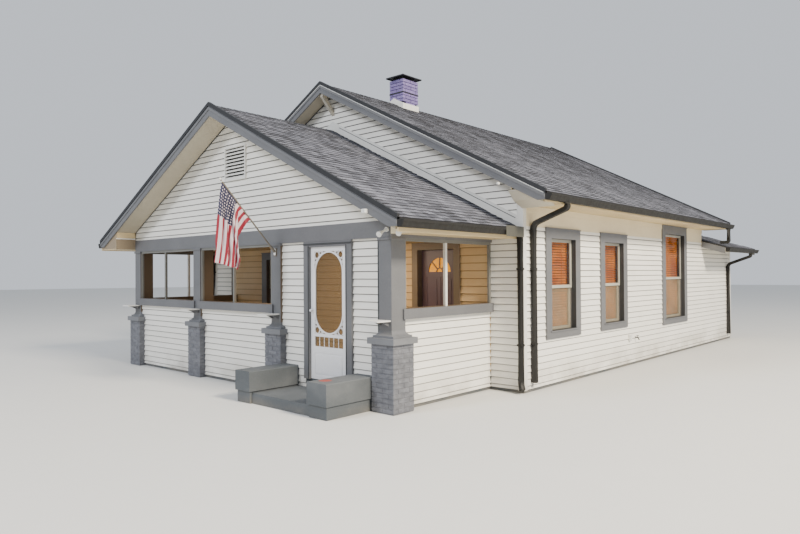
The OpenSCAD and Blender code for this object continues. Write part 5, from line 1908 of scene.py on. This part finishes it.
@dataclass
class GableVent:
    """Louvred vent in the porch gable: frame, nine slats and the dark attic behind them."""

    slats: int = 9
    stile: float = 0.026
    rails: Span = (0.012, 0.030)
    slat: Span = (0.022, 0.022)
    inset: float = 0.004

    def build(self) -> None:
        """Makes the vent in place of the plain node."""
        (a, y0, z0), (b, y1, z1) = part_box("gable_vent")
        low, high, c, d = z0 + self.rails[1], z1 - self.rails[0], a + self.stile, b - self.stile
        parts = blocks([((a, y0, z0), (c, y1, z1)), ((d, y0, z0), (b, y1, z1)),
                        ((c, y0, high), (d, y1, z1)), ((c, y0, z0), (d, y1, low))])
        slat = block((c, y0 + self.inset, low), (d, y1 - 2 * self.inset, low + self.slat[0]))
        shift(slat, lambda p: p.y > y0 + 0.01, (0, 0, self.slat[1]))
        array(slat, self.slats, (0, 0, (high - low) / self.slats))
        cut(slat, [((0, 0, high), (0, 0, 1))])
        hand_over("vent_louvres", parts + [slat], WHITE_TRIM, 0.0015, instead_of=["gable_vent"])
        t = self.inset
        back = block((a + t, y1 - t, z0 + t), (b - t, y1 - t / 4, z1 - t))
        hand_over("vent_attic", [back], ATTIC_DARK)


# Flag

@dataclass
class Flag:
    """Cloth flag that hangs gathered from the outer end of its pole, with its pole's fittings."""

    flat: Span = (0.76, 1.22)
    cells: tuple[int, int] = (38, 60)
    pole_tilt: float = 47.2
    pole_length: float = 1.476
    hoist_start: float = 0.045
    pinch: float = 0.88
    folds: Triple = (6.5, 2.0, 0.054)
    creases: Triple = (12, 5, 0.012)
    frames: int = 44
    drift: float = 0.17
    wind: float = 1.5

    def axis(self) -> tuple[Vector, Vector]:
        """Reads the pole's axis.

        Returns:
            Its foot and its tip.
        """
        pole = box_of("flag_pole")
        tip = [v.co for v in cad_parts["flag_pole"].data.vertices if v.co.z > pole.hi.z - 0.06]
        end = sum((Vector(p) for p in tip), Vector()) / len(tip)
        angle = math.radians(self.pole_tilt)
        way = Vector((0, -math.cos(angle), math.sin(angle)))
        end.x = pole.centre.x
        return end - way * self.pole_length, end

    def cloth(self) -> Piece:
        """Hangs a pinned grid of cloth by simulation and keeps its last shape.

        Returns:
            The cloth.
        """
        foot, tip = self.axis()
        way = (foot - tip).normalized()
        start = tip + way * self.hoist_start
        obj = primitive("grid", x_subdivisions=self.cells[0], y_subdivisions=self.cells[1], size=1)
        lean = random.Random(5).uniform(-1, 1)
        for vert in obj.data.vertices:
            u, v = vert.co.x + 0.5, 0.5 - vert.co.y
            gather = v ** 0.8
            along = u * self.flat[0]
            hang = v * self.flat[1]
            narrow = 1 - self.pinch * gather
            fold = math.sin(u * self.folds[0] * math.pi + self.folds[1] * v * lean) * self.folds[2]
            fold += math.sin(u * self.creases[0] + self.creases[1] * v) * self.creases[2]
            place = start + way * (along * narrow) + Vector((0, -self.drift * gather, -hang * 0.99))
            place.x += fold * math.sqrt(1 - narrow ** 2)
            vert.co = place
        obj.data.update()
        count = len(obj.data.vertices)
        pins = obj.vertex_groups.new(name="hoist")
        pins.add(list(range(count - self.cells[0] - 1, count)), 1.0, "REPLACE")
        self.simulate(obj)
        apply(obj, "SUBSURF", levels=1, render_levels=1)
        apply(obj, "SOLIDIFY", thickness=0.0012, offset=0)
        return smooth(obj, 60)

    def simulate(self, obj: Piece) -> None:
        """Lets the cloth fall into its folds in a light wind, as gravity that leans forwards.

        Args:
            obj: The cloth.
        """
        activate(obj)
        scene = bpy.context.scene
        modifier = obj.modifiers.new("Cloth", "CLOTH")
        for key, value in {"quality": 7, "mass": 0.12, "tension_stiffness": 12, "compression_stiffness": 12,
                           "bending_stiffness": 0.25, "vertex_group_mass": "hoist"}.items():
            setattr(modifier.settings, key, value)
        modifier.collision_settings.use_self_collision = True
        modifier.collision_settings.self_distance_min = 0.004
        modifier.point_cache.frame_start = 1
        modifier.point_cache.frame_end = self.frames
        still_air = tuple(scene.gravity)
        scene.gravity = (0, -self.wind, still_air[2])
        for number in range(1, self.frames + 1):
            scene.frame_set(number)
        bpy.ops.object.modifier_apply(modifier=modifier.name)
        scene.frame_set(1)
        scene.gravity = still_air

    def build(self) -> None:
        """Makes the finial, the ring, the bracket's lobes and screws, and the flag."""
        dress(ALUMINIUM, "flag_pole")
        foot, tip = self.axis()
        way = (tip - foot).normalized()
        pole = box_of("flag_pole")
        x, y = pole.centre.x, pole.hi.y - 0.018
        parts = [primitive("uv_sphere", segments=24, ring_count=14, radius=0.021, location=tip + way * 0.004),
                 rod(tip - way * 0.045, tip - way * 0.030, 0.0155, 20)]
        for z in (foot.z - 0.026, foot.z + 0.030):
            parts += [rod((x, y + 0.016, z), (x, y - 0.004, z), 0.028, 24),
                      rod((x, y, z - 0.010), (x, y - 0.008, z - 0.010), 0.005, 12)]
        hand_over("pole_fittings", [smooth(join(parts))], WHITE_METAL)
        flag = hand_over("hanging_flag", [self.cloth()], FLAG_CLOTH, instead_of=["flag"])


@dataclass
class SmallFittings:
    """Outlet and hose tap on the driveway side, rake boxes, and the lap's painted shade on the flashing."""

    outlet: Corners = ((-0.004, 4.02, 0.50), (0.045, 4.10, 0.62))
    rake_boxes: tuple[Corners, Corners] = (((4.222, -0.385, 3.280), (4.264, -0.340, 3.318)),
                                           ((3.780, -2.900, 2.702), (3.856, -2.840, 2.757)))
    # runs, places and drops of a dark bar of painted shade under the lap over the flashing
    lap_shadow: tuple[Span, Span, Span] = ((0.2, 4.33), (-0.005, 0.001), (-0.138, -0.126))
    tap: Triple = (0.0, 4.36, 0.55)

    def build(self) -> None:
        """Makes and hands over the fittings."""
        wall = Vector((box_of("right_wall").hi.x + 0.022, 0, 0))
        outlet = block(*(wall + Vector(corner) for corner in self.outlet))
        hand_over("wall_outlet", [outlet], WHITE_METAL, 0.006)
        hand_over("rake_boxes", blocks(self.rake_boxes), WHITE_METAL, 0.006)
        # a dark bar over the flashing is painted shade under the siding's lap
        runs, places, drops = self.lap_shadow
        front = box_of("roof_flashing").lo.y
        shade_bars = Roof.PORCH.top().bars(runs, [front + y for y in places], drops)
        hand_over("flashing_shade_line", shade_bars, REVEAL_PAINT_AND_SHADE)
        tap = wall + Vector(self.tap)
        pipe, spout = ((-0.01, 0), (0.06, 0), 0.011, 12), ((0.05, 0.006), (0.085, -0.05), 0.012, 12)
        wheel, stem = ((0.052, 0.035), (0.052, 0.043), 0.028, 16), ((0.052, 0), (0.052, 0.04), 0.006, 10)
        rods = [rod(tap + Vector((a[0], 0, a[1])), tap + Vector((b[0], 0, b[1])), radius, sides)
                for a, b, radius, sides in (pipe, spout, wheel, stem)]
        hand_over("garden_tap", [smooth(rounded(join(rods), 0.001))], BRONZE)


def main() -> None:
    """Builds the studio and every sub-assembly in order."""
    logging.basicConfig(level=logging.INFO, format="%(name)s %(message)s")
    for part in (Studio(), LapSiding(), ShingleRoof(), RearRoof(), BrickWork(), ChimneyCap(), RainGoods(),
                 Windows(), Porch(), Doors(), Eaves(), GableVent(), Flag(), SmallFittings()):
        LOG.info("builds %s", type(part).__name__)
        part.build()


if __name__ == "__main__":
    main()
